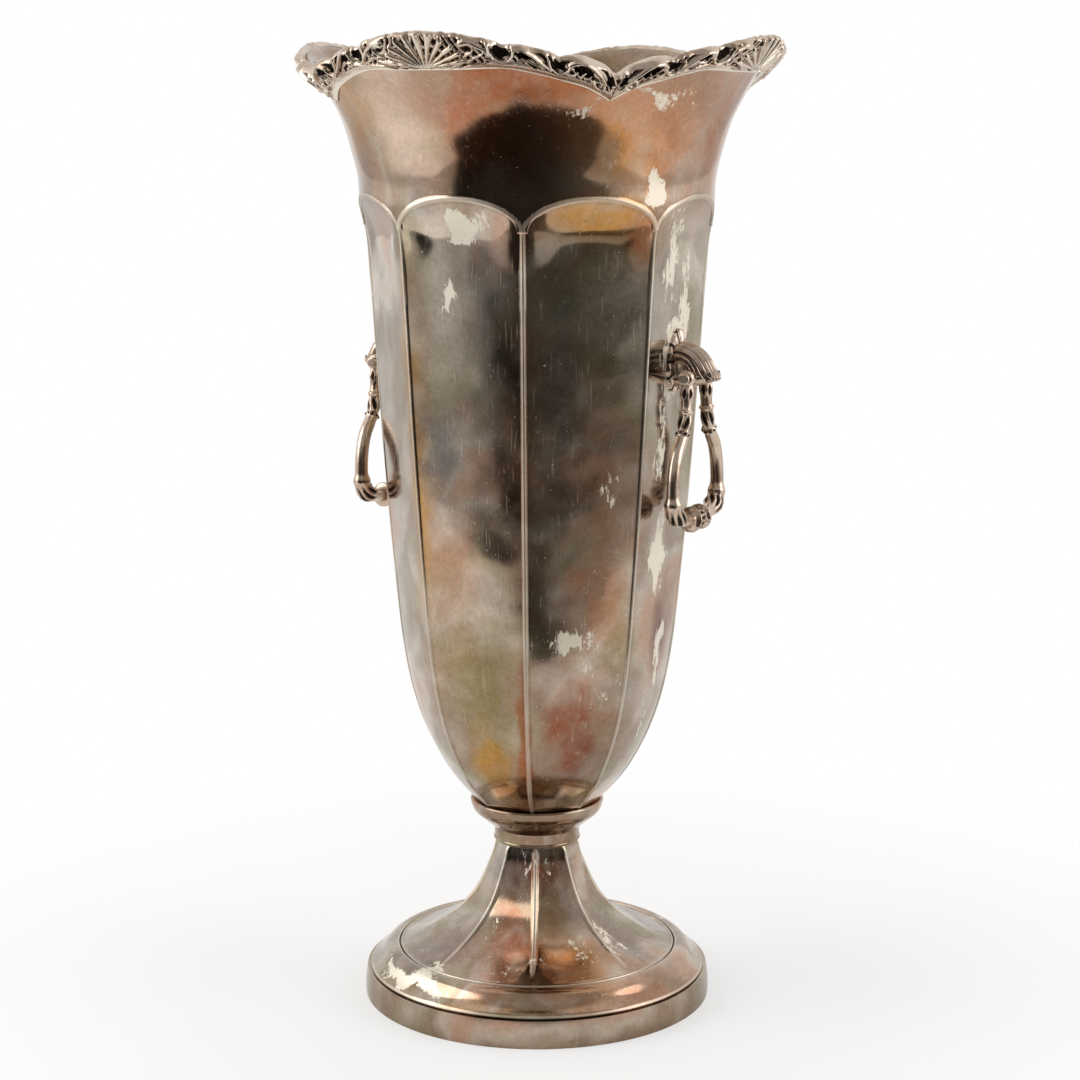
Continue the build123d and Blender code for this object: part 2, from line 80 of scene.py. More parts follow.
class VaseSizes(bpy.types.PropertyGroup):
    """Sizes of the vase's surfaces, as a maker would change them."""

    shoulder_radius: FloatProperty(
        name="Shoulder radius", description="Radius of the body just above the arches",
        default=0.0722, subtype="DISTANCE", unit="LENGTH",
    )
    sheet: FloatProperty(
        name="Sheet", description="Thickness of the body's sheet", default=0.0015, subtype="DISTANCE", unit="LENGTH",
    )
    arch_spring: FloatProperty(
        name="Arch spring", description="Height at which the arches leave the ribs",
        default=0.3255, subtype="DISTANCE", unit="LENGTH",
    )
    arch_rise: FloatProperty(
        name="Arch rise", description="Height of an arch above its spring", default=0.0126,
        subtype="DISTANCE", unit="LENGTH",
    )
    rib_height: FloatProperty(
        name="Rib height", description="How far a rib stands out of the body", default=0.0004,
        subtype="DISTANCE", unit="LENGTH",
    )
    rib_width: FloatProperty(
        name="Rib width", description="Width of a rib of the body", default=0.0019,
        subtype="DISTANCE", unit="LENGTH",
    )
    panels: IntProperty(name="Panels", description="Number of flat panels round the body", default=8, min=3)
    border_turn: FloatProperty(
        name="Border turn", description="How far the border is turned from the panels",
        default=math.radians(1.0), subtype="ANGLE",
    )
    scallop_depth: FloatProperty(
        name="Scallop depth", description="How far the mouth drops between two shells",
        default=0.0134, subtype="DISTANCE", unit="LENGTH",
    )
    skirt_depth: FloatProperty(
        name="Skirt depth", description="How far the border's lower edge drops between two shells",
        default=0.0118, subtype="DISTANCE", unit="LENGTH",
    )
    border_thickness: FloatProperty(
        name="Border thickness", description="Thickness of the cast border under its carving",
        default=0.0019, subtype="DISTANCE", unit="LENGTH",
    )
    carving_depth: FloatProperty(
        name="Carving depth", description="How far the border's carving stands out",
        default=0.0022, subtype="DISTANCE", unit="LENGTH",
    )
    foot_turn: FloatProperty(
        name="Foot turn", description="How far the foot is turned from the body",
        default=math.radians(2.5), subtype="ANGLE",
    )
    neck_radius: FloatProperty(
        name="Neck radius", description="Radius of the foot's cone at its top", default=0.0167,
        subtype="DISTANCE", unit="LENGTH",
    )
    groove_radius: FloatProperty(
        name="Groove radius", description="Radius of the groove round the foot's cone", default=0.0587,
        subtype="DISTANCE", unit="LENGTH",
    )


class VaseFinish(bpy.types.PropertyGroup):
    """Colours of the plate, its tarnish and its wear; silver and cream also serve as painted highlights."""

    # Silver also paints highlight patches among the body's spots.
    silver: FloatVectorProperty(
        name="Silver", description="Clean plate", default=(0.65, 0.57, 0.48), subtype="COLOR", min=0, max=1)
    # Cream also paints highlight lines on the plate's ridges, partly worn bright edges, and a glare patch on the flare.
    cream: FloatVectorProperty(
        name="Cream", description="Worn, dull plate in ragged patches", default=(0.90, 0.84, 0.72),
        subtype="COLOR", min=0, max=1)
    umber: FloatVectorProperty(
        name="Umber", description="Brown tarnish", default=(0.27, 0.15, 0.08), subtype="COLOR", min=0, max=1)
    rust: FloatVectorProperty(
        name="Rust", description="Orange-brown tarnish", default=(0.43, 0.14, 0.065), subtype="COLOR",
        min=0, max=1)
    gold: FloatVectorProperty(
        name="Gold", description="Yellow tarnish", default=(0.62, 0.32, 0.075), subtype="COLOR", min=0, max=1)
    olive: FloatVectorProperty(
        name="Olive", description="Green-grey tarnish", default=(0.30, 0.27, 0.13), subtype="COLOR",
        min=0, max=1)
    salmon: FloatVectorProperty(
        name="Salmon", description="Pink tarnish", default=(0.62, 0.31, 0.19), subtype="COLOR", min=0, max=1)
    slate: FloatVectorProperty(
        name="Slate", description="Blue-grey tarnish", default=(0.25, 0.26, 0.27), subtype="COLOR",
        min=0, max=1)
    plum: FloatVectorProperty(
        name="Plum", description="Dark purple-brown tarnish", default=(0.20, 0.085, 0.065), subtype="COLOR",
        min=0, max=1)
    oxide: FloatVectorProperty(
        name="Oxide", description="Black-brown oxide in the recesses", default=(0.030, 0.020, 0.016),
        subtype="COLOR", min=0, max=1)
    steel: FloatVectorProperty(
        name="Steel", description="Plain steel of the fastening", default=(0.50, 0.49, 0.47),
        subtype="COLOR", min=0, max=1)


def sizes():
    return bpy.context.scene.vase_sizes


def finish():
    return bpy.context.scene.vase_finish


def smooth_curve(points, x):
    """Monotone cubic through (x, y) points, read at x."""
    px, py = np.array(points, float).T
    step = np.diff(px)
    slope = np.diff(py) / step
    tangent = np.concatenate([[slope[0]], (slope[1:] + slope[:-1]) / 2, [slope[-1]]])
    turns = np.sign(slope[1:]) * np.sign(slope[:-1]) <= 0
    tangent[1:-1][turns] = 0
    for i, m in enumerate(slope):
        limit = 3 * abs(m)
        tangent[i] = np.clip(tangent[i], -limit, limit)
        tangent[i + 1] = np.clip(tangent[i + 1], -limit, limit)
    x = np.clip(x, px[0], px[-1])
    i = np.clip(np.searchsorted(px, x, side="right") - 1, 0, len(step) - 1)
    t = (x - px[i]) / step[i]
    a, b = py[i], py[i + 1]
    ta, tb = tangent[i] * step[i], tangent[i + 1] * step[i]
    return a + t * (ta + t * ((3 * (b - a) - 2 * ta - tb) + t * (2 * (a - b) + ta + tb)))


def ease(x):
    """Smooth step from 0 to 1."""
    x = np.clip(x, 0, 1)
    return x * x * (3 - 2 * x)


def dome(distance, width):
    """Round ridge: 1 on its line and 0 at its width."""
    return np.sqrt(np.clip(1 - (distance / width) ** 2, 0, 1))


def line_distance(x, y, line):
    """Distance of points to a line of (x, y) points, and how far along it each lies, from 0 to 1."""
    best = np.full(x.shape, np.inf)
    along = np.zeros(x.shape)
    count = len(line) - 1
    for i in range(count):
        (x0, y0), (x1, y1) = line[i], line[i + 1]
        dx, dy = x1 - x0, y1 - y0
        t = np.clip(((x - x0) * dx + (y - y0) * dy) / max(dx * dx + dy * dy, 1e-12), 0, 1)
        d = np.hypot(x - x0 - t * dx, y - y0 - t * dy)
        nearer = d < best
        best = np.where(nearer, d, best)
        along = np.where(nearer, (i + t) / count, along)
    return best, along


def around(radius, angle, height):
    """Places in the frame from a radius, an angle round the vase and a height."""
    return np.stack(np.broadcast_arrays(radius * np.cos(angle), radius * np.sin(angle), height), axis=-1)


class Surface:
    """Mesh made of grids of places, each with the same painted layers."""

    LAYERS = ("ridge", "recess", "wear")

    def __init__(self):
        self.places = []
        self.quads = []
        self.fans = []
        self.layers = {name: [] for name in self.LAYERS}
        self.stains_and_highlights = []
        self.total = 0

    def add_points(self, places, layers, stain):
        flat = places.reshape(-1, 3)
        self.places.append(flat)
        for name in self.LAYERS:
            value = layers.get(name, 0.0)
            self.layers[name].append(np.broadcast_to(value, places.shape[:-1]).reshape(-1).astype(float))
        if stain is None:
            stain = np.zeros(places.shape[:-1] + (4,))
        self.stains_and_highlights.append(stain.reshape(-1, 4))
        start = self.total
        self.total += len(flat)
        return start

    def grid(self, places, wrap=True, caps=(False, False), stain=None, **layers):
        """Quads between rows of places; a cap closes the first or last row with a fan."""
        rows, columns = places.shape[:2]
        start = self.add_points(places, layers, stain)
        index = start + np.arange(rows * columns).reshape(rows, columns)
        if wrap:
            index = np.hstack([index, index[:, :1]])
        self.quads.append(np.stack([index[:-1, :-1], index[:-1, 1:], index[1:, 1:], index[1:, :-1]], -1).reshape(-1, 4))
        for row, wanted, side in ((0, caps[0], 1), (-1, caps[1], -1)):
            if wanted:
                ring = index[row]
                centre = self.add_points(places[row].mean(axis=0)[None, :], {}, None)
                pairs = np.stack([np.full(len(ring) - 1, centre), ring[1:], ring[:-1]], -1)
                self.fans.append(pairs[:, ::side] if side < 0 else pairs)

    def piece(self, name, material, body, slot, nodes=()):
        """The finished object, riding on a body."""
        mesh = bpy.data.meshes.new(name)
        faces = np.concatenate(self.quads).tolist()
        for fan in self.fans:
            faces += fan.tolist()
        mesh.from_pydata(np.concatenate(self.places).tolist(), [], faces)
        mesh.shade_smooth()
        for layer, parts in self.layers.items():
            attribute = mesh.attributes.new(layer, "FLOAT", "POINT")
            attribute.data.foreach_set("value", np.concatenate(parts).astype(np.float32))
        stain = mesh.attributes.new("stain", "FLOAT_COLOR", "POINT")
        stain.data.foreach_set("color", np.concatenate(self.stains_and_highlights).astype(np.float32).ravel())
        mesh.materials.append(material)
        piece = bpy.data.objects.new(name, mesh)
        bpy.context.scene.collection.objects.link(piece)
        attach(piece, body)
        if nodes:
            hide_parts(*nodes)
        return piece


class Finish:
    """Short way to write a node material."""

    def __init__(self, name):
        self.material = bpy.data.materials.get(name) or bpy.data.materials.new(name)
        self.material.use_nodes = True
        self.tree = self.material.node_tree
        self.tree.nodes.clear()
        self.place = self.add("ShaderNodeTexCoord").outputs["Object"]

    def add(self, kind, inputs=None, **settings):
        node = self.tree.nodes.new(kind)
        for key, value in settings.items():
            setattr(node, key, value)
        for key, value in (inputs or {}).items():
            if isinstance(value, bpy.types.NodeSocket):
                self.tree.links.new(value, node.inputs[key])
            else:
                node.inputs[key].default_value = value
        return node

    def layer(self, name):
        return self.add("ShaderNodeAttribute", attribute_name=name)

    def stretched(self, scale, turn=(0, 0, 0)):
        return self.add("ShaderNodeMapping", {"Vector": self.place, "Scale": scale, "Rotation": turn}).outputs[0]

    def noise(self, scale, detail=3.0, rough=0.55, distortion=0.0, place=None):
        return self.add("ShaderNodeTexNoise", {
            "Vector": place or self.place, "Scale": scale, "Detail": detail, "Roughness": rough,
            "Distortion": distortion,
        }).outputs["Fac"]

    def ramp(self, value, stops):
        """Colour or grey by stops of (place, colour or grey)."""
        node = self.add("ShaderNodeValToRGB", {"Fac": value})
        ramp = node.color_ramp
        while len(ramp.elements) < len(stops):
            ramp.elements.new(1.0)
        for element, (place, colour) in zip(ramp.elements, stops):
            element.position = place
            element.color = (*colour, 1) if hasattr(colour, "__len__") else (colour, colour, colour, 1)
        return node.outputs["Color"]

    def mix(self, factor, a, b, blend="MIX"):
        node = self.add("ShaderNodeMix", data_type="RGBA", blend_type=blend)
        for key, value in (("Factor", factor), ("A", a), ("B", b)):
            socket = next(s for s in node.inputs if s.name == key and s.enabled)
            if isinstance(value, bpy.types.NodeSocket):
                self.tree.links.new(value, socket)
            elif key == "Factor":
                socket.default_value = value
            else:
                socket.default_value = (*value, 1) if hasattr(value, "__len__") else (value, value, value, 1)
        return next(s for s in node.outputs if s.enabled)

    def math(self, operation, a, b=0.0, clamp=False):
        return self.add("ShaderNodeMath", {0: a, 1: b}, operation=operation, use_clamp=clamp).outputs[0]

    def metal(self, colour, roughness, bump=None, strength=0.3, distance=0.0003, metallic=1.0):
        inputs = {"Base Color": colour, "Roughness": roughness, "Metallic": metallic}
        if bump is not None:
            inputs["Normal"] = self.add(
                "ShaderNodeBump", {"Height": bump, "Strength": strength, "Distance": distance}
            ).outputs[0]
        shader = self.add("ShaderNodeBsdfPrincipled", inputs)
        self.add("ShaderNodeOutputMaterial", {"Surface": shader.outputs[0]})
        return self.material


def colour(name):
    return tuple(getattr(finish(), name))


def tarnished_plate(name, scale, painted=True, ground=None):
    """Old silver plate: drifting tarnish, painted tarnish spots and highlight patches, worn cream patches, scratches,
    and cream highlight lines painted on the ridges, partly worn bright edges.
    Without paint it needs none of the mesh's layers, and lies on one ground colour."""
    f = Finish(name)
    drift = f.noise(scale, 3.0, 0.5, 0.25)
    hue = f.ramp(drift, [
        (0.30, colour("slate")), (0.39, colour("silver")), (0.45, colour("olive")), (0.50, colour("umber")),
        (0.55, colour("silver")), (0.61, colour("salmon")), (0.72, colour("umber")),
    ])
    base = f.mix(0.58 if painted else 0.42, ground or colour("silver"), hue)
    break_up = f.noise(scale * 5, 5.0, 0.65, 0.4)
    cloud = f.noise(scale * 2.6, 5.0, 0.6, 0.5)
    streaks = f.noise(1.0, 7.0, 0.74, 0.2, f.stretched((430, 430, 170)))
    if painted:
        # Painted layer: tarnish spots, plus on the body a few silver and cream spots that paint highlight patches.
        stain = f.layer("stain")
        edge = f.math("MULTIPLY", stain.outputs["Alpha"], f.ramp(break_up, [(0.28, 0.62), (0.60, 1.05)]))
        base = f.mix(edge, base, stain.outputs["Color"])
        wear = f.layer("wear").outputs["Fac"]
    else:
        wear = 0.0
    base = f.mix(0.55, base, f.ramp(cloud, [(0.25, 0.46), (0.55, 0.94), (0.75, 1.0)]), "MULTIPLY")
    grain = f.ramp(f.noise(480.0, 5.0, 0.75), [(0.32, 0.62), (0.60, 1.0)])
    base = f.mix(0.50, base, grain, "MULTIPLY")
    ragged = f.ramp(f.math("ADD", streaks, wear), [(0.86, 0.0), (0.90, 1.0)])
    specks = f.ramp(f.noise(620.0, 3.0, 0.7), [(0.70, 0.0), (0.74, 0.8)])
    pale = f.math("MAXIMUM", ragged, specks)
    base = f.mix(f.math("MULTIPLY", pale, 0.9), base, colour("cream"))
    if painted:
        # Cream on the ridge layer paints highlight lines along ribs, arch beads and the foot's lips, partly worn bright
        # edges.
        base = f.mix(f.math("MULTIPLY", f.layer("ridge").outputs["Fac"], 0.38), base, colour("cream"))
        base = f.mix(f.math("MULTIPLY", f.layer("recess").outputs["Fac"], 0.8), base, colour("oxide"))

    fine = f.noise(1.0, 2.0, 0.5, 0.0, f.stretched((900, 900, 60), (0.5, 0.35, 0)))
    cross = f.noise(1.0, 2.0, 0.5, 0.0, f.stretched((700, 90, 500), (0.6, -0.5, 0.9)))
    scratches = f.math("ADD", f.ramp(fine, [(0.62, 0.0), (0.74, 1.0)]), f.ramp(cross, [(0.64, 0.0), (0.76, 0.8)]))
    base = f.mix(f.math("MULTIPLY", scratches, 0.14), base, colour("cream"))
    rough = f.math("ADD", f.math("MULTIPLY", cloud, 0.24), f.math("MULTIPLY", scratches, 0.10))
    rough = f.math("ADD", rough, f.math("MULTIPLY", pale, 0.42))
    if painted:
        rough = f.math("ADD", rough, f.math("MULTIPLY", f.layer("ridge").outputs["Fac"], 0.30))
    dents = f.math("ADD", f.math("MULTIPLY", f.noise(26.0, 2.0, 0.5), 1.6), f.math("MULTIPLY", scratches, 0.02))
    dents = f.math("ADD", dents, f.math("MULTIPLY", pale, -0.03))
    return f.metal(base, rough, dents, 0.10, 0.004)


def cast_silver(name, pink=0.12, painted=True):
    """Carved casting: bright on its high points, black-brown oxide in its recesses."""
    f = Finish(name)
    drift = f.noise(90.0, 4.0, 0.6, 0.4)
    base = f.mix(pink, colour("silver"), colour("salmon"))
    base = f.mix(f.ramp(drift, [(0.45, 0.0), (0.70, 0.7)]), base, colour("umber"))
    dirt = f.noise(420.0, 4.0, 0.6)
    blotch = f.math("MULTIPLY", f.math("SUBTRACT", dirt, 0.5), 0.5)
    dark = f.math("ADD", f.layer("recess").outputs["Fac"], blotch, clamp=True) if painted else blotch
    dark = f.ramp(dark, [(0.18, 0.0), (0.55, 1.0)])
    base = f.mix(dark, base, colour("oxide"))
    if painted:
        base = f.mix(f.math("MULTIPLY", f.layer("ridge").outputs["Fac"], 0.8), base, colour("cream"))
    rough = f.math("ADD", 0.22, f.math("MULTIPLY", dark, 0.45))
    grain = f.noise(1500.0, 3.0, 0.6)
    return f.metal(base, rough, grain, 0.25, 0.0002)


def plain_steel(name):
    """Lightly oxidised steel of the stud, washer and nut."""
    f = Finish(name)
    turned = f.noise(1.0, 3.0, 0.6, 0.0, f.stretched((60, 60, 1600)))
    blotch = f.noise(160.0, 4.0, 0.6, 0.5)
    base = f.mix(f.ramp(blotch, [(0.45, 0.0), (0.72, 0.8)]), colour("steel"), colour("umber"))
    rough = f.math("ADD", 0.30, f.math("MULTIPLY", turned, 0.25))
    return f.metal(base, rough, turned, 0.2, 0.0002)


def body_radius(height):
    base, top = BODY_BOX[0].z, BODY_BOX[1].z
    share = (height - base) / (top - base)
    return sizes().shoulder_radius * smooth_curve(BODY_SHARES, share)


def low_angle(angle):
    """Angle from the nearest low of the border, as a share of the mouth's radius sideways."""
    quarter = math.pi / 2
    turned = np.mod(angle - sizes().border_turn - quarter / 2 + quarter / 2, quarter) - quarter / 2
    return np.abs(np.sin(turned))


def mouth_height(angle):
    """Height of the body's scalloped top edge."""
    return BODY_BOX[1].z - sizes().scallop_depth * smooth_curve(SCALLOP_SHARES, low_angle(angle))


def skirt_height(angle):
    """Height of the border's lower edge."""
    low = BODY_BOX[1].z + MM - sizes().scallop_depth - sizes().skirt_depth
    return low + sizes().skirt_depth * smooth_curve(SKIRT_SHARES, low_angle(angle))


# Tarnish and painted highlights of the body: colour, angle round the vase in degrees, height in metres, spread sideways
# in degrees, spread upwards in metres, strength. The silver and cream entries marked below paint highlight patches.
BODY_STAINS_AND_HIGHLIGHTS = [
    ("rust", -60, 0.366, 62, 0.016, 0.66),
    ("gold", 0, 0.362, 60, 0.012, 0.40),
    ("umber", -55, 0.165, 40, 0.060, 0.30),
    # Painted highlight: glare patch on the left of the flare.
    ("cream", -107, 0.362, 8, 0.013, 0.80),
    ("gold", -128, 0.366, 8, 0.012, 0.55),
    ("salmon", -40, 0.372, 14, 0.010, 0.45),
    ("rust", -81, 0.368, 9, 0.018, 0.85),
    ("rust", -62, 0.382, 22, 0.007, 0.95),
    ("gold", -39, 0.360, 9, 0.016, 0.75),
    ("salmon", -21, 0.358, 10, 0.016, 0.80),
    ("rust", 8, 0.360, 12, 0.018, 0.85),
    ("slate", -134, 0.348, 14, 0.012, 0.75),
    ("salmon", -100, 0.347, 10, 0.009, 0.70),
    # Painted highlight: silver in the same glare patch on the flare.
    ("silver", -106, 0.369, 10, 0.015, 0.95),
    ("gold", -126, 0.370, 9, 0.014, 0.75),
    ("gold", -42, 0.332, 14, 0.007, 0.95),
    ("rust", -26, 0.322, 5, 0.008, 0.80),
    # Painted highlight: white highlight patch on the left-front panel.
    ("silver", -96, 0.303, 6, 0.020, 0.90),
    ("slate", -79, 0.290, 6, 0.030, 0.60),
    ("umber", -70, 0.240, 6, 0.045, 0.70),
    ("gold", -112, 0.232, 4, 0.045, 0.80),
    ("slate", -103, 0.238, 6, 0.014, 0.70),
    ("salmon", -98, 0.185, 11, 0.020, 0.55),
    ("olive", -90, 0.147, 12, 0.018, 1.00),
    ("gold", -87, 0.107, 8, 0.012, 1.00),
    ("rust", -70, 0.122, 3, 0.028, 1.00),
    ("umber", -36, 0.229, 10, 0.022, 0.55),
    ("salmon", -38, 0.182, 9, 0.014, 0.90),
    ("rust", -34, 0.205, 12, 0.016, 0.45),
    ("cream", -100, 0.300, 5, 0.024, 0.55),
    ("olive", -28, 0.162, 6, 0.018, 0.75),
    ("plum", -43, 0.122, 12, 0.015, 0.85),
    ("rust", -46, 0.128, 10, 0.012, 0.90),
    ("slate", -55, 0.250, 5, 0.050, 0.55),
    ("silver", -8, 0.290, 8, 0.050, 0.80),
    ("plum", 3, 0.164, 6, 0.014, 0.80),
    ("umber", -78, 0.094, 14, 0.006, 0.70),
]

# Worn places of the body: angle in degrees, height, spread sideways in degrees, spread upwards, strength
BODY_WEAR = [
    (-87, 0.328, 11, 0.006, 0.54),
    (-30, 0.375, 20, 0.003, 0.44),
    (-52, 0.371, 10, 0.003, 0.42),
    (-24, 0.340, 6, 0.007, 0.70),
    (-9, 0.314, 9, 0.026, 0.46),
    (-4, 0.194, 9, 0.020, 0.60),
    (-47, 0.166, 15, 0.011, 0.50),
    (-40, 0.150, 8, 0.008, 0.42),
    (-30, 0.140, 12, 0.014, 0.30),
    (4, 0.154, 6, 0.018, 0.50),
    (-8, 0.240, 7, 0.030, 0.42),
    (-4, 0.272, 10, 0.022, 0.62),
    (5, 0.290, 8, 0.040, 0.50),
    (0, 0.120, 8, 0.020, 0.36),
    (-95, 0.300, 4, 0.014, 0.55),
    (-34, 0.226, 8, 0.018, 0.36),
    (-75, 0.120, 20, 0.020, 0.20),
]

FOOT_STAINS = [
    ("umber", -60, 0.034, 120, 0.020, 0.34),
    ("plum", -60, 0.056, 40, 0.006, 0.80),
    ("rust", -85, 0.040, 14, 0.010, 0.70),
    ("rust", -70, 0.028, 26, 0.006, 0.80),
    ("umber", -50, 0.040, 14, 0.012, 0.60),
    ("gold", -40, 0.027, 12, 0.006, 0.80),
    ("slate", -118, 0.026, 20, 0.009, 0.75),
    ("slate", -10, 0.030, 20, 0.009, 0.55),
    ("umber", -60, 0.014, 40, 0.003, 0.55),
    ("rust", -20, 0.013, 18, 0.004, 0.55),
    ("gold", -90, 0.012, 20, 0.003, 0.55),
]

FOOT_WEAR = [
    (-117, 0.016, 24, 0.005, 0.60),
    (-60, 0.026, 70, 0.004, 0.33),
    (-98, 0.034, 8, 0.007, 0.36),
    (-40, 0.030, 10, 0.006, 0.40),
    (-12, 0.030, 10, 0.008, 0.42),
    (-60, 0.060, 60, 0.006, 0.34),
]


def both_sides(places):
    """The list, and a copy of it turned to the far side of the vase."""
    far = []
    for entry in places:
        entry = list(entry)
        degrees = 1 if isinstance(entry[0], str) else 0
        entry[degrees] += 172
        entry[degrees + 1] *= 1.03
        far.append(tuple(entry))
    return places + far


def wandered(angle, height, seed):
    """The places moved a little by a slow noise, so that what is painted on them has ragged edges."""
    sample = np.stack([np.cos(angle) * 6, np.sin(angle) * 6, height * 90], -1).reshape(-1, 3)
    wander = np.array([noise.noise_vector((x + seed, y, z)) for x, y, z in sample.tolist()])
    return angle.reshape(-1) + 0.09 * wander[:, 0], height.reshape(-1) + 0.008 * wander[:, 1]


def spot(a, h, degrees, level, wide, tall):
    """Weight of a soft spot at each place."""
    turn = np.mod(a - math.radians(degrees) + math.pi, 2 * math.pi) - math.pi
    return np.exp(-((turn / math.radians(wide)) ** 2 + ((h - level) / tall) ** 2))


def painted(angle, height, stains_and_highlights, seed):
    """Colour and weight of the tarnish spots and painted highlight patches at each place."""
    a, h = wandered(angle, height, seed)
    total = np.full(a.shape, 1e-6)
    mixed = np.zeros((len(a), 3))
    strongest = np.zeros(a.shape)
    # The colour of an entry is a tarnish, or silver or cream where the entry paints a highlight.
    for tarnish, degrees, level, wide, tall, strength in both_sides(stains_and_highlights):
        weight = np.minimum(1.3 * strength * spot(a, h, degrees, level, 1.5 * wide, 1.5 * tall), 1)
        total += weight
        mixed += weight[:, None] * np.array(colour(tarnish))
        strongest = np.maximum(strongest, weight)
    return np.concatenate([mixed / total[:, None], strongest[:, None]], -1).reshape(angle.shape + (4,))


def worn(angle, height, spots, seed):
    """How worn each place is."""
    a, h = wandered(angle, height, seed)
    wear = np.zeros(a.shape)
    for degrees, level, wide, tall, strength in both_sides(spots):
        wear = np.maximum(wear, 1.0 * strength * spot(a, h, degrees, level, wide, tall))
    return wear.reshape(angle.shape)


def panel_columns(flat_steps, rib_steps):
    """Places across one panel: share of the flat from its middle, and share of the rib beyond it."""
    flat = np.sin(np.linspace(-math.pi / 2, math.pi / 2, flat_steps))
    rib = np.linspace(0, 2, rib_steps + 1)[1:-1]
    return [(x, 0.0) for x in flat] + [(1.0, x) for x in rib]


def body_angles(height, columns):
    """Angles of all columns at a height: the ribs keep their width from top to bottom."""
    s = sizes()
    half = math.pi / s.panels
    rib = s.rib_width / body_radius(height)
    angles = []
    for panel in range(s.panels):
        for flat, beyond in columns:
            angles.append(panel * 2 * half + flat * (half - rib) + beyond * rib)
    return np.array(angles)


def body_rows(s, columns):
    """Angles and heights of the outer wall's grid: rows follow the arches, then the scalloped edge."""
    low = BODY_BOX[0].z
    bend = s.arch_spring - 0.030
    share = np.array([flat for flat, beyond in columns] * s.panels)
    arch = s.arch_spring + s.arch_rise * np.sqrt(np.clip(1 - share ** 2, 0, 1))
    angles, heights = [], []
    for z in low + (bend - low) * np.linspace(0, 1, 110) ** 1.15:
        angles.append(body_angles(z, columns))
        heights.append(np.full(len(share), z))
    for v in 1 - (1 - np.linspace(0, 1, 34)[1:]) ** 1.5:
        z = bend + (arch - bend) * v
        angles.append(body_angles(s.arch_spring, columns))
        heights.append(z)
    top = mouth_height(angles[-1]) - 0.0015
    for w in np.linspace(0, 1, 56)[1:] ** 1.25:
        angles.append(angles[-1])
        heights.append(arch + (top - arch) * w)
    return np.array(angles), np.array(heights), arch, share


def body_wall(s, columns):
    """Outer wall of the body: flat panels with coved heads, round flare, ribs and arch lines."""
    angle, height, arch, share = body_rows(s, columns)
    half = math.pi / s.panels
    turn = np.mod(angle + half, 2 * half) - half
    outline = body_radius(height)
    top_of_flat = s.arch_spring - 0.027
    flat_line = np.where(
        height < top_of_flat, body_radius(np.minimum(height, top_of_flat)),
        body_radius(top_of_flat) + 0.066 * (height - top_of_flat),
    )
    chord = flat_line * 0.925 / np.cos(turn)
    roundness = 0.10 + 0.50 * ease((0.235 - height) / 0.130)
    panel = chord + roundness * (np.minimum(flat_line, outline) - chord)

    sideways = np.abs(turn) * outline
    half_panel = half * body_radius(s.arch_spring)
    steps = np.linspace(math.pi / 2, 0, 24)
    arch_line = [(half_panel * math.sin(a), s.arch_spring + s.arch_rise * math.cos(a)) for a in steps]
    arch_distance, _ = line_distance(sideways, height, arch_line)
    rib_side = half * outline - sideways
    inside = height < arch - 1e-9
    cove = (1 - np.clip(arch_distance / 0.0165, 0, 1)) ** 1.5
    panel = panel + (outline - 0.0003 - panel) * cove
    radius = np.where(inside, np.minimum(panel, outline), outline)
    near = np.where(height > s.arch_spring, arch_distance, np.minimum(rib_side, arch_distance))
    bead = dome(near, s.rib_width / 2)
    lower = ease((height - BODY_BOX[0].z) / 0.004)
    radius = radius + s.rib_height * bead * lower * np.where(height > s.arch_spring + 0.001, 0.6, 1.0)
    groove = ease(1 - np.abs(near - 0.75 * s.rib_width) / (0.35 * s.rib_width)) * (height < s.arch_spring + 0.02)
    return angle, height, radius, bead, groove


class VASE_OT_body(bpy.types.Operator):
    """Raise the body with its panels, arches, ribs and flare"""

    bl_idname = "vase.body"
    bl_label = "Body"

    def execute(self, context):
        s = sizes()
        columns = panel_columns(36, 8)
        angle, height, radius, bead, groove = body_wall(s, columns)
        outer = around(radius, angle, height)
        along = np.gradient(outer, axis=0)
        across = np.roll(outer, -1, axis=1) - np.roll(outer, 1, axis=1)
        normal = np.cross(across, along)
        normal /= np.linalg.norm(normal, axis=-1, keepdims=True)
        inner = (outer - normal * s.sheet)[::-2]
        inner[:, :, 2] = np.maximum(inner[:, :, 2], BODY_BOX[0].z + s.sheet)
        lip = (outer[-1:] + inner[:1]) / 2
        lip[:, :, 2] += 0.3 * s.sheet
        places = np.concatenate([outer, lip, inner])
        # Tarnish spots and the painted highlight patches of the body.
        stain = painted(angle, height, BODY_STAINS_AND_HIGHLIGHTS, 3.0)
        wear = worn(angle, height, BODY_WEAR, 5.0)
        pad = len(places) - len(outer)
        lining = np.broadcast_to((*colour("umber"), 0.75), (pad,) + stain.shape[1:])
        stains_and_highlights = np.concatenate([stain, lining])
        # Ridge layer: cream highlight lines painted on the ribs and arch beads, partly worn bright edges.
        ridge = np.concatenate([ease(bead * 2.2), np.zeros((pad, bead.shape[1]))])
        recess = np.concatenate([0.30 * groove, np.zeros((pad, bead.shape[1]))])
        wear = np.concatenate([wear, np.zeros((pad, bead.shape[1]))])
        surface = Surface()
        surface.grid(places, caps=(True, True), stain=stains_and_highlights, ridge=ridge, recess=recess, wear=wear)
        material = tarnished_plate("body_plate", 15.0)
        surface.piece("vase_body", material, "vase", "tarnished_plate", ["body_shell"])
        return {"FINISHED"}


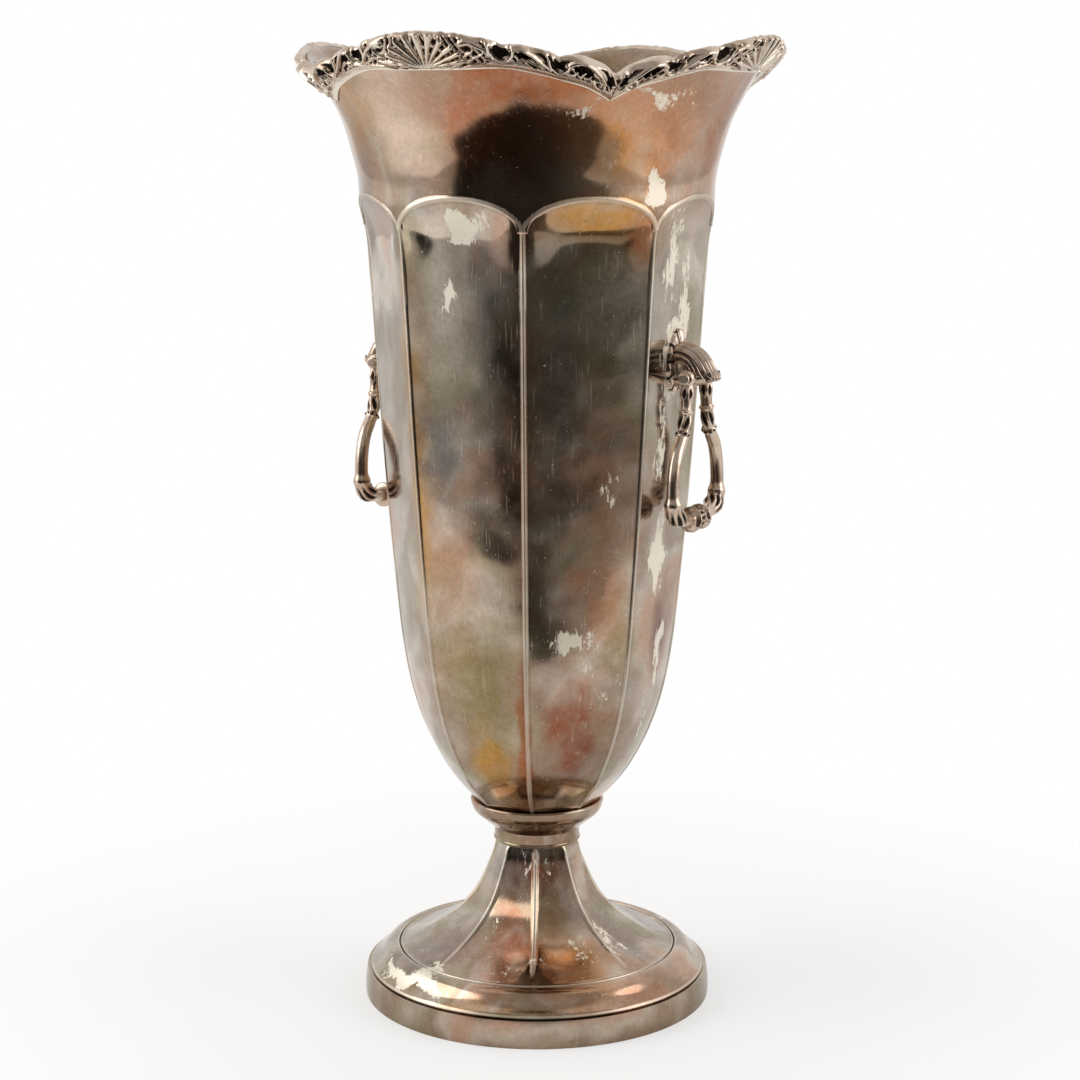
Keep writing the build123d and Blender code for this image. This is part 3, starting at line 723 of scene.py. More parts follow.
class VASE_OT_foot(bpy.types.Operator):
    """Spin the foot with its fluted cone, groove and ogee moulding"""

    bl_idname = "vase.foot"
    bl_label = "Foot"

    def execute(self, context):
        s = sizes()
        base = FOOT_BOX[0].z
        rise = FOOT_BOX[1].z - base
        edge = 0.0734
        columns = panel_columns(30, 8)
        span = edge - s.groove_radius
        cone_reach = s.groove_radius - 0.065 * span - s.neck_radius
        cone = [(base + rise * z, s.neck_radius + cone_reach * r) for z, r in CONE_SHARES][::-1]
        flats = [(z, f) for (z, r), f in zip(cone, CONE_FLAT_SHARES[::-1])]
        groove_z = base + rise * CONE_SHARES[-1][0]
        ogee_shares = [(0.171, 0.065), (0.172, 0.15), (0.164, 0.28), (0.146, 0.38), (0.120, 0.46), (0.092, 0.54),
                       (0.068, 0.63), (0.049, 0.73), (0.034, 0.81), (0.018, 0.85), (0.006, 0.862)]
        heights = base + rise * (0.170 + 0.830 * np.linspace(1, 0, 90))
        rows_z = list(heights)
        rows_r = list(smooth_curve(cone, heights))
        cone_rows = len(rows_z)
        for z, r in ((0.175, -0.055), (0.178, -0.040), (0.175, -0.022), (0.156, -0.010), (0.147, 0.004),
                     (0.156, 0.018), (0.172, 0.030), (0.176, 0.046)):
            rows_z.append(base + rise * z)
            rows_r.append(s.groove_radius + span * r)
        index = np.linspace(0, len(ogee_shares) - 1, 40)
        ogee_z = np.interp(index, range(len(ogee_shares)), [z for z, r in ogee_shares])
        ogee_r = np.interp(index, range(len(ogee_shares)), [r for z, r in ogee_shares])
        kernel = np.array([0.25, 0.5, 0.25])
        for _ in range(4):
            ogee_z[1:-1] = np.convolve(ogee_z, kernel, "valid")
            ogee_r[1:-1] = np.convolve(ogee_r, kernel, "valid")
        rows_z += list(base + rise * ogee_z)
        rows_r += list(s.groove_radius + span * ogee_r)
        rows_z, rows_r = np.array(rows_z), np.array(rows_r)
        half = math.pi / s.panels
        angles, radii, beads, grooves = [], [], [], []
        for i, (z, r) in enumerate(zip(rows_z, rows_r)):
            rib = 0.0019 / r
            angle = np.array([
                s.foot_turn + k * 2 * half + flat * (half - rib) + beyond * rib
                for k in range(s.panels) for flat, beyond in columns
            ])
            turn = np.mod(angle - s.foot_turn + half, 2 * half) - half
            radius = np.full(angle.shape, r)
            bead = np.zeros(angle.shape)
            if i < cone_rows:
                share = float(smooth_curve(flats, z))
                radius = np.minimum(radius, r * share / np.cos(turn))
                fade = float(ease((z - groove_z) / 0.004) * ease((FOOT_BOX[1].z - z) / 0.003))
                bead = dome((half - np.abs(turn)) * r, 0.0010) * fade
                radius = radius + 0.0006 * bead
            angles.append(angle)
            radii.append(radius)
            beads.append(bead)
            # Rib beads and lips feed the ridge layer, whose cream paints bright highlight lines on the cone's ribs, the
            # groove's lips and above the band.
            lip = 0.75 * (cone_rows <= i < cone_rows + 3 or cone_rows + 6 <= i < cone_rows + 9)
            lip += 0.8 * (len(rows_z) - 7 <= i < len(rows_z) - 3)
            beads[-1] = np.maximum(beads[-1], lip)
            grooves.append(np.full(angle.shape, 1.0 if cone_rows + 3 <= i < cone_rows + 6 else 0.0))
        for row in (-1, -2):
            grooves[row] = np.ones(grooves[row].shape)
        angle, radius = np.array(angles), np.array(radii)
        height = np.repeat(rows_z[:, None], angle.shape[1], axis=1)
        outer = around(radius, angle, height)
        sheet = 0.0017
        inner_r = np.clip(radius - sheet, 0.0033, None)[::-3]
        inner_z = np.clip(height - sheet, base, FOOT_BOX[1].z - 0.002)[::-3]
        inner = around(inner_r, angle[::-3], inner_z)
        hole = around(np.full(angle.shape[1], 0.00325), angle[0], np.full(angle.shape[1], FOOT_BOX[1].z - 0.002))
        hole_top = hole + np.array([0, 0, 0.002])
        places = np.concatenate([hole_top[None], outer, inner, hole[None], hole_top[None]])
        stain = painted(angle, height, FOOT_STAINS, 9.0)
        wear = worn(angle, height, FOOT_WEAR, 11.0)
        before = np.zeros((1,) + stain.shape[1:])
        after = np.zeros((len(places) - len(outer) - 1,) + stain.shape[1:])
        def padded(layer):
            return np.concatenate([before[..., 0], layer, after[..., 0]])
        surface = Surface()
        surface.grid(
            places, stain=np.concatenate([before, stain, after]),
            ridge=padded(ease(np.array(beads) * 1.3 - 0.2)), recess=padded(np.array(grooves)),
            wear=padded(wear),
        )
        material = tarnished_plate("foot_plate", 22.0)
        surface.piece("vase_foot", material, "vase", "tarnished_plate", ["foot_shell"])
        return {"FINISHED"}


class VASE_OT_border(bpy.types.Operator):
    """Cast the carved border of shells and scrolls in four lengths"""

    bl_idname = "vase.border"
    bl_label = "Rim border"

    def execute(self, context):
        s = sizes()
        material = cast_silver("border_casting", 0.10)
        for k, side in enumerate(("right", "back", "left", "front")):
            places, ridge, recess = border_length(s, s.border_turn + k * math.pi / 2)
            surface = Surface()
            surface.grid(places, caps=(True, True), ridge=ridge, recess=recess)
            surface.piece("border_" + side, material, "vase", "cast_border", ["rim_border_" + side])
        return {"FINISHED"}


def border_strokes():
    """Carved ridges of half a length: points of (mm from the shell's middle, share of the face), half widths
    in mm at the start and the end, and height as a share of the carving's depth."""
    strokes = []
    for degrees in (0, 16, 31, 46, 61, 76):
        turn = math.radians(degrees)
        root = (1.6 * math.sin(turn), 0.20)
        tip = (17.5 * math.sin(turn), 0.20 + 0.82 * math.cos(turn))
        strokes.append(([root, tip], 0.5, 1.75 - 0.6 * math.sin(turn), 1.0))
    strokes += [
        ([(0.0, 0.10), (1.9, 0.11)], 1.0, 0.9, 1.0),
        ([(0.0, 0.17), (2.2, 0.18)], 0.5, 0.5, 0.9),
        ([(4.0, 0.10), (8.0, 0.20), (12.0, 0.24)], 0.9, 0.6, 0.8),
        ([(9.0, 0.10), (14.0, 0.30), (20.0, 0.44)], 0.9, 0.6, 0.9),
        ([(14.0, 0.12), (19.0, 0.26), (25.0, 0.34)], 0.8, 0.6, 0.8),
        ([(17.0, 0.52), (20.0, 0.66), (21.0, 0.80)], 0.9, 0.6, 0.8),
        ([(20.5, 0.48), (23.5, 0.60), (24.5, 0.70)], 0.8, 0.5, 0.7),
        ([(16.5, 0.88), (20.0, 0.97), (24.0, 0.86), (26.8, 0.66)], 1.5, 1.0, 1.0),
        ([(26.3, 1.00), (26.6, 0.74), (28.2, 0.57), (31.0, 0.51), (33.8, 0.57), (35.3, 0.76), (35.6, 1.0)], 1.0, 1.0, 1.0),
        ([(24.5, 0.50), (30.0, 0.38), (36.0, 0.44), (42.0, 0.40)], 0.9, 0.7, 0.6),
        ([(35.6, 0.97), (39.0, 1.01), (43.0, 0.88), (47.0, 0.64), (49.5, 0.52)], 1.0, 1.2, 1.0),
        ([(37.5, 0.52), (41.0, 0.60), (45.0, 0.50)], 0.8, 0.6, 0.6),
        ([(48.9, 0.84), (49.8, 0.60), (52.0, 0.48), (54.6, 0.48), (56.6, 0.62), (57.0, 0.84)], 0.9, 0.9, 0.95),
        ([(45.0, 0.38), (52.0, 0.34), (60.0, 0.32), (66.0, 0.26)], 0.6, 0.6, 0.5),
        ([(57.0, 0.84), (59.5, 0.96), (63.0, 1.00), (66.5, 0.93), (69.8, 0.76), (72.0, 0.54)], 1.2, 1.4, 1.0),
        ([(59.2, 0.42), (60.6, 0.62)], 1.0, 0.4, 0.8),
        ([(62.0, 0.40), (63.6, 0.66)], 1.0, 0.4, 0.8),
        ([(65.0, 0.42), (66.3, 0.60)], 0.9, 0.4, 0.7),
        ([(75.8, 0.30), (76.3, 0.72)], 0.9, 0.5, 0.5),
    ]
    spiral = [
        (69.6 + 2.7 * (1 - 0.7 * t) * math.cos(0.6 - 8.0 * t), 0.40 + 0.19 * (1 - 0.7 * t) * math.sin(0.6 - 8.0 * t))
        for t in np.linspace(0, 1, 18)
    ]
    strokes.append((spiral, 1.1, 0.7, 1.0))
    return strokes


# Deep places of the border: mm from the shell's middle, share of the face, half width and half height in mm
BORDER_PITS = [(31.0, 0.88, 3.3, 3.2), (39.6, 0.76, 3.2, 1.8), (53.0, 0.82, 2.6, 2.6), (63.0, 0.66, 4.2, 3.4), (74.0, 0.74, 1.6, 3.0)]

# Waves of the border's top edge: mm from the shell's middle, spread in mm, height in mm
BORDER_WAVES = [(31.0, 3.2, -1.5), (39.0, 3.0, 0.4), (53.0, 2.7, -1.2), (62.5, 4.0, 0.5), (76.5, 3.2, -1.6), (23.0, 3.0, -0.4)]

FACE_MM = 14.0


def border_relief(x, v):
    """Height and darkness of the border's carving at places across its face."""
    y = v * FACE_MM
    hatch = 0.5 + 0.5 * np.cos(2 * math.pi * (x + 0.8 * y + 1.2 * np.sin(0.5 * x)) / 3.6)
    relief = 0.34 * hatch * ease((v - 0.30) / 0.06) + 0.10
    for points, start, end, strength in border_strokes():
        d, along = line_distance(x, y, [(px, py * FACE_MM) for px, py in points])
        relief = np.maximum(relief, strength * dome(d, start + (end - start) * along))
    pit = np.zeros(x.shape)
    for px, pv, wide, tall in BORDER_PITS:
        pit = np.maximum(pit, 1 - ((x - px) / wide) ** 2 - ((y - pv * FACE_MM) / tall) ** 2)
    pit = ease(pit / 0.5) * (1 - ease((relief - 0.55) / 0.2))
    relief = relief - 0.45 * pit
    fan = ease((18.0 - x) / 3.0) * ease((v - 0.20) / 0.05)
    field = np.maximum(ease((v - 0.30) / 0.05), fan)
    dark = (1 - ease((relief - 0.08) / 0.34)) * field * ease((1.02 - v) / 0.05)
    return relief * ease((v - 0.06) / 0.08), np.maximum(dark, pit)


def border_length(s, shell_angle):
    """One cast length from low to low: places of its closed section along it, and its painted layers."""
    quarter = math.pi / 4
    seam = 0.0002 / 0.099
    columns = 620
    turn = np.linspace(-quarter + seam, quarter - seam, columns)
    angle = shell_angle + turn
    along = np.abs(turn) * 0.098 / MM
    low, top = skirt_height(angle), mouth_height(angle) + 0.0006
    for place, spread, rise in BORDER_WAVES:
        top = top + rise * MM * np.exp(-((along - place) / spread) ** 2)
    top = top + 0.15 * MM * np.cos(2 * math.pi * along / 4.6) * ease((17 - along) / 3)

    face_rows = 84
    v = np.linspace(0, 1, face_rows)[:, None]
    z = low + (top - low) * v
    ceiling = BODY_BOX[1].z
    wall = body_radius(np.minimum(z, ceiling)) + 0.9 * np.maximum(z - ceiling, 0)
    slope = (body_radius(np.minimum(z + MM, ceiling)) - body_radius(np.minimum(z, ceiling) - MM)) / (2 * MM)
    lean = np.arctan(np.clip(slope, 0, 1.2))
    x = np.broadcast_to(along, z.shape)
    relief, dark = border_relief(x, np.broadcast_to(v, z.shape))
    strip = ease((0.17 + 0.02 * np.sin(x * 1.7) + 0.02 * np.sin(x * 0.61 + 2) - v) / 0.02)
    body = s.border_thickness * (0.25 + 0.75 * ease(v / 0.30))
    flare = 0.0022 * ease((x - 48) / 20) * ease((v - 0.35) / 0.5)
    thick = body + s.carving_depth * relief + flare
    out = around(np.cos(lean), angle, -np.sin(lean))
    back = around(wall + 0.00012, angle, z)
    face = back + out * thick[..., None]
    t = np.linspace(0, 1, 9)[1:-1, None, None]
    over = face[-1] * (1 - t) + back[-1] * t + np.array([0, 0, 0.0010]) * np.sin(t * math.pi)
    inner = back[np.linspace(face_rows - 1, 0, 12).astype(int)]
    section = np.concatenate([face, over, inner])
    plain = np.zeros((len(section) - face_rows, columns))
    recess = np.concatenate([dark, plain])
    ridge = np.concatenate([np.maximum(0.9 * strip, 0.45 * ease((relief - 0.75) / 0.25)), plain])
    return section.transpose(1, 0, 2), ridge.T, recess.T


def rod(path, radius, sides, across):
    """Tube round a path in a plane, whose radius is given for each step and side. across is the plane's normal."""
    along = np.gradient(path, axis=0)
    along /= np.linalg.norm(along, axis=1, keepdims=True)
    across = np.array(across, float)
    out = np.cross(along, across)
    side = np.linspace(0, 2 * math.pi, sides, endpoint=False)
    return path[:, None] + radius[..., None] * (
        np.cos(side)[None, :, None] * out[:, None] + np.sin(side)[None, :, None] * across
    )


def resample(points, step):
    """Even places along a smooth curve through the points."""
    p = np.array(points, float)
    spans = [0.0]
    for a, b in zip(p, p[1:]):
        spans.append(spans[-1] + np.linalg.norm(b - a))
    knots = np.array(spans)
    ends = np.vstack([2 * p[0] - p[1], p, 2 * p[-1] - p[-2]])
    fine = []
    for i in range(len(p) - 1):
        t = np.linspace(0, 1, 24, endpoint=False)[:, None]
        a, b, c, d = ends[i:i + 4]
        fine.append(0.5 * (2 * b + (c - a) * t + (2 * a - 5 * b + 4 * c - d) * t ** 2 + (3 * b - a - 3 * c + d) * t ** 3))
    fine = np.vstack(fine + [p[-1:]])
    run = np.concatenate([[0], np.cumsum(np.linalg.norm(np.diff(fine, axis=0), axis=1))])
    count = max(int(run[-1] / step), 8)
    even = np.linspace(0, run[-1], count)
    return np.stack([np.interp(even, run, fine[:, i]) for i in range(3)], -1), even


# Half of the drop loop from its eye to the middle of the bottom bar: sideways, drop below the pin, in mm
LOOP_LINE = [(9.3, 0.0), (9.7, 7.0), (10.5, 13.0), (12.0, 20.0), (15.0, 24.5), (19.0, 29.5), (21.4, 36.0),
             (22.3, 44.0), (21.6, 50.5), (18.5, 54.2), (13.0, 56.2), (6.0, 57.2), (0.0, 57.5)]


def loop_relief(run, side, total):
    """Radius of the loop's rod at each step and side, with its leaves, rings and roll. Lengths in metres."""
    s = run[:, None] / MM
    a = side[None, :]
    half = total / MM / 2
    s = half - np.abs(half - s)
    radius = 2.35 + 0.35 * ease((s - 20) / 10) + 0 * a
    recess = np.zeros(radius.shape)

    def swell(centre, spread, height, ridges=0, twist=0.0, cut=0.0):
        nonlocal radius, recess
        bell = np.exp(-((s - centre) / spread) ** 2)
        groove = 0.5 - 0.5 * np.cos(ridges * a + twist * s) if ridges else np.ones_like(radius)
        radius = radius + bell * (height - cut * (1 - groove))
        recess = np.maximum(recess, bell * (1 - groove) * (cut > 0))

    swell(6.0, 2.2, 0.7, 6, 0.0, 0.5)
    swell(13.5, 0.7, 0.75)
    swell(18.0, 3.2, 0.6, 5, 0.5, 0.8)
    swell(23.0, 0.8, 1.0, 10, 1.6, 0.5)
    swell(52.0, 2.0, 0.9)
    swell(58.5, 4.5, 1.5, 8, 0.55, 1.1)
    swell(half, 3.9, 1.8, 11, 0.0, 0.8)
    for offset in (-4.6, 4.6):
        swell(half + offset, 0.7, 2.2)
    return radius * MM, recess


def eye_ring(centre, sign):
    """Eye of the loop round the pin: a short ring along Y with rounded edges."""
    half = 0.0025
    bore, reach = 0.00135, 0.0031
    section = [(bore, -half), (reach - 0.0006, -half), (reach, -half + 0.0006), (reach + 0.0002, 0), (reach, half - 0.0006),
               (reach - 0.0006, half), (bore, half)]
    turn = np.linspace(0, 2 * math.pi, 40, endpoint=False)
    rows = []
    for r, y in section:
        rows.append(np.stack([centre[0] + r * np.cos(turn), np.full(40, centre[1] + sign * y),
                              centre[2] + r * np.sin(turn)], -1))
    rows.append(rows[0])
    return np.array(rows)


class VASE_OT_loops(bpy.types.Operator):
    """Cast the two drop loops with their leaves, rings and rolled grips"""

    bl_idname = "vase.loops"
    bl_label = "Drop loops"

    def execute(self, context):
        material = cast_silver("loop_casting", 0.22)
        pin = (PIN_BOX[0] + PIN_BOX[1]) / 2
        for name, flip in (("right", 1), ("left", -1)):
            half = [(0.0, -y * MM, -d * MM) for y, d in LOOP_LINE]
            mirrored = [(0.0, -p[1], p[2]) for p in half[::-1]]
            path, run = resample(half + mirrored[1:], 0.00035)
            path = path + np.array([pin.x, 0, pin.z])
            side = np.linspace(0, 2 * math.pi, 36, endpoint=False)
            radius, recess = loop_relief(run, side, run[-1])
            tube = rod(path, radius, 36, (1, 0, 0))
            surface = Surface()
            turn = np.array([flip, flip, 1])
            surface.grid(tube * turn, caps=(True, True), recess=recess)
            for sign in (-1, 1):
                ring = eye_ring((pin.x, sign * 0.0093, pin.z), sign)
                surface.grid(ring * turn)
            surface.piece("drop_loop_" + name, material, "drop_handle_" + name, "cast_handle",
                          ["handle_loop_" + name])
        return {"FINISHED"}


# Side view of a boss: outwards from the axis and height above the pin, in mm, from its top down round the front
BOSS_LINE = [(58.6, 11.6), (63.0, 13.2), (67.0, 13.3), (70.8, 12.2), (74.2, 9.9), (77.0, 6.7), (78.9, 3.2), (81.3, -0.5),
             (79.0, -1.6), (75.6, -3.0), (72.0, -4.0), (66.0, -4.6), (58.0, -5.2)]


WALL_SHARE = 0.9325
PLATE_TURNS = np.linspace(0, 2 * math.pi, 97)[:-1]
PLATE_RINGS = np.linspace(0.02, 1, 20)[:, None]


def leaf_grooves():
    """Darkness between the leaf's veins on a boss's plate."""
    veins = 0.5 + 0.5 * np.cos(11 * PLATE_TURNS)
    return 0.8 * ease((0.25 - veins) / 0.25) * ease((PLATE_RINGS - 0.2) / 0.3)


def leaf_plate(pin):
    """Oval leaf plate between a boss and the wall, with its veins and a turned edge."""
    veins = 0.5 + 0.5 * np.cos(11 * PLATE_TURNS)
    rim = 1 + 0.015 * (veins - 0.5) * ease((PLATE_RINGS - 0.6) / 0.4)
    point = 1 - 0.4 * np.clip(np.sin(PLATE_TURNS), 0, 1) ** 3
    y = 0.0084 * PLATE_RINGS * rim * np.cos(PLATE_TURNS) * point
    z = pin.z + 0.0060 + 0.0128 * PLATE_RINGS * rim * np.sin(PLATE_TURNS)
    wall = body_radius(z.ravel()).reshape(z.shape) * WALL_SHARE
    x = wall + 0.0008 + 0.0016 * (1 - PLATE_RINGS ** 3) + 0.0009 * veins * PLATE_RINGS
    skin = np.stack([x, y, z], -1)
    edge = skin[-1:].copy()
    edge[:, :, 0] -= 0.0028
    return np.concatenate([skin, edge])


class VASE_OT_bosses(bpy.types.Operator):
    """Cast the two scroll bosses with their ribbed leaves"""

    bl_idname = "vase.bosses"
    bl_label = "Handle bosses"

    def execute(self, context):
        material = cast_silver("boss_casting", 0.15)
        pin = (PIN_BOX[0] + PIN_BOX[1]) / 2
        for name, flip in (("right", 1), ("left", -1)):
            surface = Surface()
            outline, run = resample([(x * MM, 0, pin.z + z * MM) for x, z in BOSS_LINE], 0.0004)
            across = np.linspace(-1, 1, 49)
            share = run / run[-1]
            half_width = np.interp(share, [0, 0.2, 0.45, 0.58, 0.64, 0.75, 1.0],
                                   [0.0060, 0.0064, 0.0062, 0.0048, 0.0030, 0.0046, 0.0050])
            ribs = 0.5 + 0.5 * np.cos(across[None, :] * math.pi * 7) * np.ones((len(share), 1))
            leaf = ease(share / 0.1)[:, None] * ease((0.66 - share) / 0.1)[:, None]
            crown = np.sqrt(np.clip(1 - 0.92 * across ** 2, 0, 1))[None, :]
            normal = np.cross(np.gradient(outline, axis=0), np.array([0, 1.0, 0]))
            normal /= np.linalg.norm(normal, axis=1, keepdims=True)
            lift = -0.0042 * (1 - crown) + 0.0008 * (ribs - 0.6) * leaf
            skin = outline[:, None] + normal[:, None] * lift[..., None]
            skin[:, :, 1] = across[None, :] * half_width[:, None]
            centre = np.array([0.0705, 0, pin.z + 0.0033])
            spread = np.linspace(1, 0.01, 24)
            recess = 0.8 * ease((0.26 - ribs) / 0.26) * leaf
            surface.grid(skin * np.array([flip, flip, 1]), wrap=False, recess=recess)
            for edge, sign in ((skin[:, 0], -1), (skin[:, -1], 1)):
                rows, marks = [], []
                for ring in spread:
                    row = centre + (edge - centre) * ring
                    spiral = np.cos(2 * math.pi * (ring * 2.4 + share * 1.6))
                    row[:, 1] = sign * (np.abs(edge[:, 1]) + 0.0005 * (1 - ring) + 0.0005 * spiral * (ring < 0.97))
                    rows.append(row)
                    marks.append(0.5 - 0.5 * spiral)
                surface.grid(np.array(rows) * np.array([flip, flip, 1]), recess=0.42 * np.array(marks))
            surface.grid(leaf_plate(pin) * np.array([flip, flip, 1]), recess=np.vstack([leaf_grooves(), leaf_grooves()[-1:]]))
            surface.piece("scroll_boss_" + name, material, "vase", "cast_handle", ["handle_boss_" + name])
        return {"FINISHED"}


class VASE_OT_fittings(bpy.types.Operator):
    """Finish the turned fittings: neck, foot band, pins and fastening"""

    bl_idname = "vase.fittings"
    bl_label = "Turned fittings"

    def execute(self, context):
        band = tarnished_plate("band_plate", 14.0, False, tuple(np.array([0.48, 0.52]) @ [colour("silver"), colour("umber")]))
        neck = tarnished_plate("neck_plate", 24.0, False, tuple(np.array([0.35, 0.65]) @ [colour("silver"), colour("umber")]))
        pins = cast_silver("pin_plate", 0.2, painted=False)
        steel = plain_steel("fastening_steel")
        set_material(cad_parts["foot_band"], band)
        for name in ("neck_collar", "neck_ring"):
            set_material(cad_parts[name], neck)
        for name in ("handle_pin_left", "handle_pin_right"):
            set_material(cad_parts[name], pins)
        for name in ("body_stud", "stud_washer", "stud_nut"):
            set_material(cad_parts[name], steel)
        return {"FINISHED"}


def set_material(piece, material):
    if not piece.material_slots:
        piece.data.materials.append(material)
    for slot in piece.material_slots:
        slot.material = material


class VASE_OT_stage(bpy.types.Operator):
    """Set the pale floor, the light tent with its dark front opening, and the camera"""

    bl_idname = "vase.stage"
    bl_label = "Stage"

    camera_turn = math.radians(27)
    camera_distance = 0.983
    camera_height = 0.3694
    camera_pitch = math.radians(10.07)
    focal_pixels = 2390
    frame_pixels = 1080
    axis_pixel = 537

    def execute(self, context):
        self.make_floor()
        self.make_world()
        self.make_lamps()
        self.make_camera()
        scene = context.scene
        scene.view_settings.view_transform = "Standard"
        return {"FINISHED"}

    def make_floor(self):
        front = 0.335
        reach = 3.2
        turn = self.camera_turn
        ahead = np.array([math.sin(turn), -math.cos(turn), 0])
        aside = np.array([math.cos(turn), math.sin(turn), 0])
        steps = np.linspace(0, 2 * math.pi, 241)[:-1]
        edge_aside = reach * np.sin(steps) * np.abs(np.sin(steps))
        bowed = front + 0.10 * np.clip((edge_aside / 0.42) ** 2, 0, 1)
        edge_ahead = np.minimum(reach * np.cos(steps), bowed)
        rings = np.array([0.001, 0.25, 0.5, 0.75, 1.0])[:, None, None]
        places = rings * (edge_ahead[:, None] * ahead + edge_aside[:, None] * aside)
        mesh = bpy.data.meshes.new("floor")
        count = len(steps)
        faces = []
        for i in range(len(rings) - 1):
            for j in range(count):
                k = (j + 1) % count
                faces.append((i * count + j, i * count + k, (i + 1) * count + k, (i + 1) * count + j))
        faces.append(tuple(range(count)))
        mesh.from_pydata(places.reshape(-1, 3).tolist(), [], faces)
        floor = bpy.data.objects.new("floor", mesh)
        bpy.context.scene.collection.objects.link(floor)
        f = Finish("pale_floor")
        cloth = f.noise(5.0, 2.0)
        tone = f.ramp(cloth, [(0.3, 0.90), (0.7, 0.93)])
        diffuse = f.add("ShaderNodeBsdfDiffuse", {"Color": tone})
        glow = f.add("ShaderNodeEmission", {"Color": (1, 1, 1, 1), "Strength": 1.0})
        distance = f.add("ShaderNodeVectorMath", {0: f.place}, operation="LENGTH").outputs["Value"]
        far = f.ramp(distance, [(0.14, 0.0), (0.36, 1.0)])
        camera_ray = f.add("ShaderNodeLightPath").outputs["Is Camera Ray"]
        faded = f.math("ADD", f.math("MULTIPLY", far, 0.5), 0.5)
        factor = f.math("MULTIPLY", faded, camera_ray)
        mixed = f.add("ShaderNodeMixShader", {0: factor, 1: diffuse.outputs[0], 2: glow.outputs[0]})
        f.add("ShaderNodeOutputMaterial", {"Surface": mixed.outputs[0]})
        mesh.materials.append(f.material)

    def make_world(self):
        world = bpy.data.worlds.new("light_tent")
        bpy.context.scene.world = world
        world.use_nodes = True
        tree = world.node_tree
        tree.nodes.clear()

        def add(kind, inputs=None, **settings):
            node = tree.nodes.new(kind)
            for key, value in settings.items():
                setattr(node, key, value)
            for key, value in (inputs or {}).items():
                if isinstance(value, bpy.types.NodeSocket):
                    tree.links.new(value, node.inputs[key])
                else:
                    node.inputs[key].default_value = value
            return node

        def calc(operation, a, b=0.0):
            return add("ShaderNodeMath", {0: a, 1: b}, operation=operation).outputs[0]

        turn = self.camera_turn
        direction = add("ShaderNodeTexCoord").outputs["Generated"]
        sideways = add("ShaderNodeVectorMath", {0: direction, 1: (math.cos(turn), math.sin(turn), 0)},
                       operation="DOT_PRODUCT").outputs["Value"]
        ahead = add("ShaderNodeVectorMath", {0: direction, 1: (math.sin(turn), -math.cos(turn), 0)},
                    operation="DOT_PRODUCT").outputs["Value"]
        upward = add("ShaderNodeSeparateXYZ", {0: direction}).outputs["Z"]
        azimuth = calc("ARCTAN2", sideways, ahead)
        elevation = calc("ARCSINE", upward)
        notch = calc("MULTIPLY", calc("ADD", elevation, math.radians(22)), 1 / math.radians(8))
        notch = calc("EXPONENT", calc("MULTIPLY", calc("MULTIPLY", notch, notch), -1.0))
        right = calc("SUBTRACT", math.radians(47), calc("MULTIPLY", notch, math.radians(17)))

        def soft(value, low, high):
            return add("ShaderNodeMapRange", {"Value": value, "From Min": low, "From Max": high},
                       interpolation_type="SMOOTHSTEP").outputs[0]

        within_right = soft(calc("SUBTRACT", right, azimuth), math.radians(-1.5), math.radians(1.5))
        within_left = soft(calc("ADD", azimuth, math.radians(54)), math.radians(-3), math.radians(3))
        below = soft(calc("SUBTRACT", math.radians(12), elevation), math.radians(-4), math.radians(4))
        opening = calc("MULTIPLY", calc("MULTIPLY", within_right, within_left), below)
        sides = soft(calc("ABSOLUTE", azimuth), math.radians(46), math.radians(92))
        walls = add("ShaderNodeMix", {0: sides, 6: (0.46, 0.44, 0.41, 1), 7: (1.0, 0.99, 0.97, 1)}, data_type="RGBA")
        depth = soft(azimuth, math.radians(0), math.radians(46))
        inside = add("ShaderNodeMix", {0: depth, 6: (0.030, 0.027, 0.025, 1), 7: (0.13, 0.12, 0.10, 1)},
                     data_type="RGBA")
        tent = add("ShaderNodeMix", {0: opening, 6: walls.outputs[2], 7: inside.outputs[2]}, data_type="RGBA")
        light = add("ShaderNodeBackground", {"Color": tent.outputs[2], "Strength": 0.95})
        white = add("ShaderNodeBackground", {"Color": (1, 1, 1, 1), "Strength": 1.0})
        camera_ray = add("ShaderNodeLightPath").outputs["Is Camera Ray"]
        mixed = add("ShaderNodeMixShader", {0: camera_ray, 1: light.outputs[0], 2: white.outputs[0]})
        add("ShaderNodeOutputWorld", {"Surface": mixed.outputs[0]})

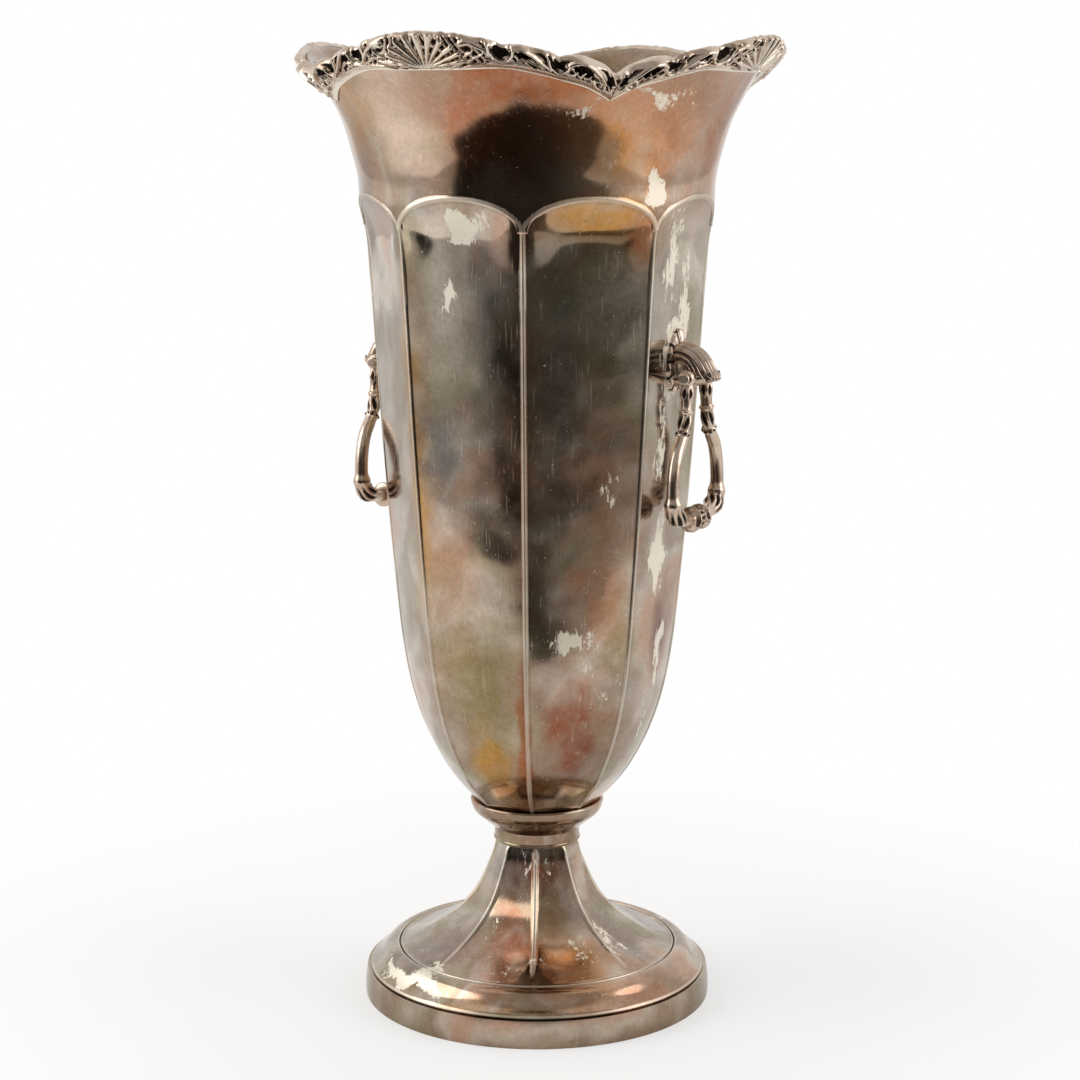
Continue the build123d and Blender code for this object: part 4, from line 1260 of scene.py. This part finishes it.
    def make_lamps(self):
        for name, turn, height, reach, size, power in (
            ("left_bank", self.camera_turn - 1.35 - math.pi / 2, 0.75, 1.1, 0.9, 6.0),
            ("right_bank", self.camera_turn + 1.25 - math.pi / 2, 0.65, 1.2, 0.8, 4.0),
        ):
            lamp = bpy.data.lights.new(name, "AREA")
            lamp.energy = power
            lamp.size = size
            holder = bpy.data.objects.new(name, lamp)
            holder.location = (reach * math.cos(turn), reach * math.sin(turn), height)
            aim = (holder.location * -1)
            aim.z += 0.25
            holder.rotation_euler = aim.to_track_quat("-Z", "Y").to_euler()
            bpy.context.scene.collection.objects.link(holder)

    def make_camera(self):
        data = bpy.data.cameras.new("camera")
        data.sensor_width = 36.0
        data.lens = data.sensor_width * self.focal_pixels / self.frame_pixels
        data.shift_x = (self.frame_pixels / 2 - self.axis_pixel) / self.frame_pixels
        camera = bpy.data.objects.new("camera", data)
        turn = self.camera_turn
        camera.location = (
            self.camera_distance * math.sin(turn),
            -self.camera_distance * math.cos(turn),
            self.camera_height,
        )
        camera.rotation_euler = (math.pi / 2 - self.camera_pitch, 0, turn)
        bpy.context.scene.collection.objects.link(camera)
        bpy.context.scene.camera = camera


class VASE_PT_sidebar(bpy.types.Panel):
    """Sizes, colours and pieces of the vase"""

    bl_idname = "VASE_PT_sidebar"
    bl_label = "Trumpet vase"
    bl_space_type = "VIEW_3D"
    bl_region_type = "UI"
    bl_category = "Vase"

    def draw(self, context):
        for group in (context.scene.vase_sizes, context.scene.vase_finish):
            box = self.layout.box()
            for name in group.__annotations__:
                box.prop(group, name)
        for operator in OPERATORS:
            self.layout.operator(operator.bl_idname)


OPERATORS = (
    VASE_OT_body, VASE_OT_border, VASE_OT_foot, VASE_OT_loops, VASE_OT_bosses, VASE_OT_fittings, VASE_OT_stage,
)
CLASSES = (VaseSizes, VaseFinish) + OPERATORS + (VASE_PT_sidebar,)


def register():
    for cls in CLASSES:
        bpy.utils.register_class(cls)
    bpy.types.Scene.vase_sizes = PointerProperty(type=VaseSizes)
    bpy.types.Scene.vase_finish = PointerProperty(type=VaseFinish)


def unregister():
    del bpy.types.Scene.vase_finish
    del bpy.types.Scene.vase_sizes
    for cls in reversed(CLASSES):
        bpy.utils.unregister_class(cls)


def main():
    register()
    bpy.ops.vase.body()
    bpy.ops.vase.border()
    bpy.ops.vase.foot()
    bpy.ops.vase.loops()
    bpy.ops.vase.bosses()
    bpy.ops.vase.fittings()
    bpy.ops.vase.stage()


if __name__ == "__main__":
    main()
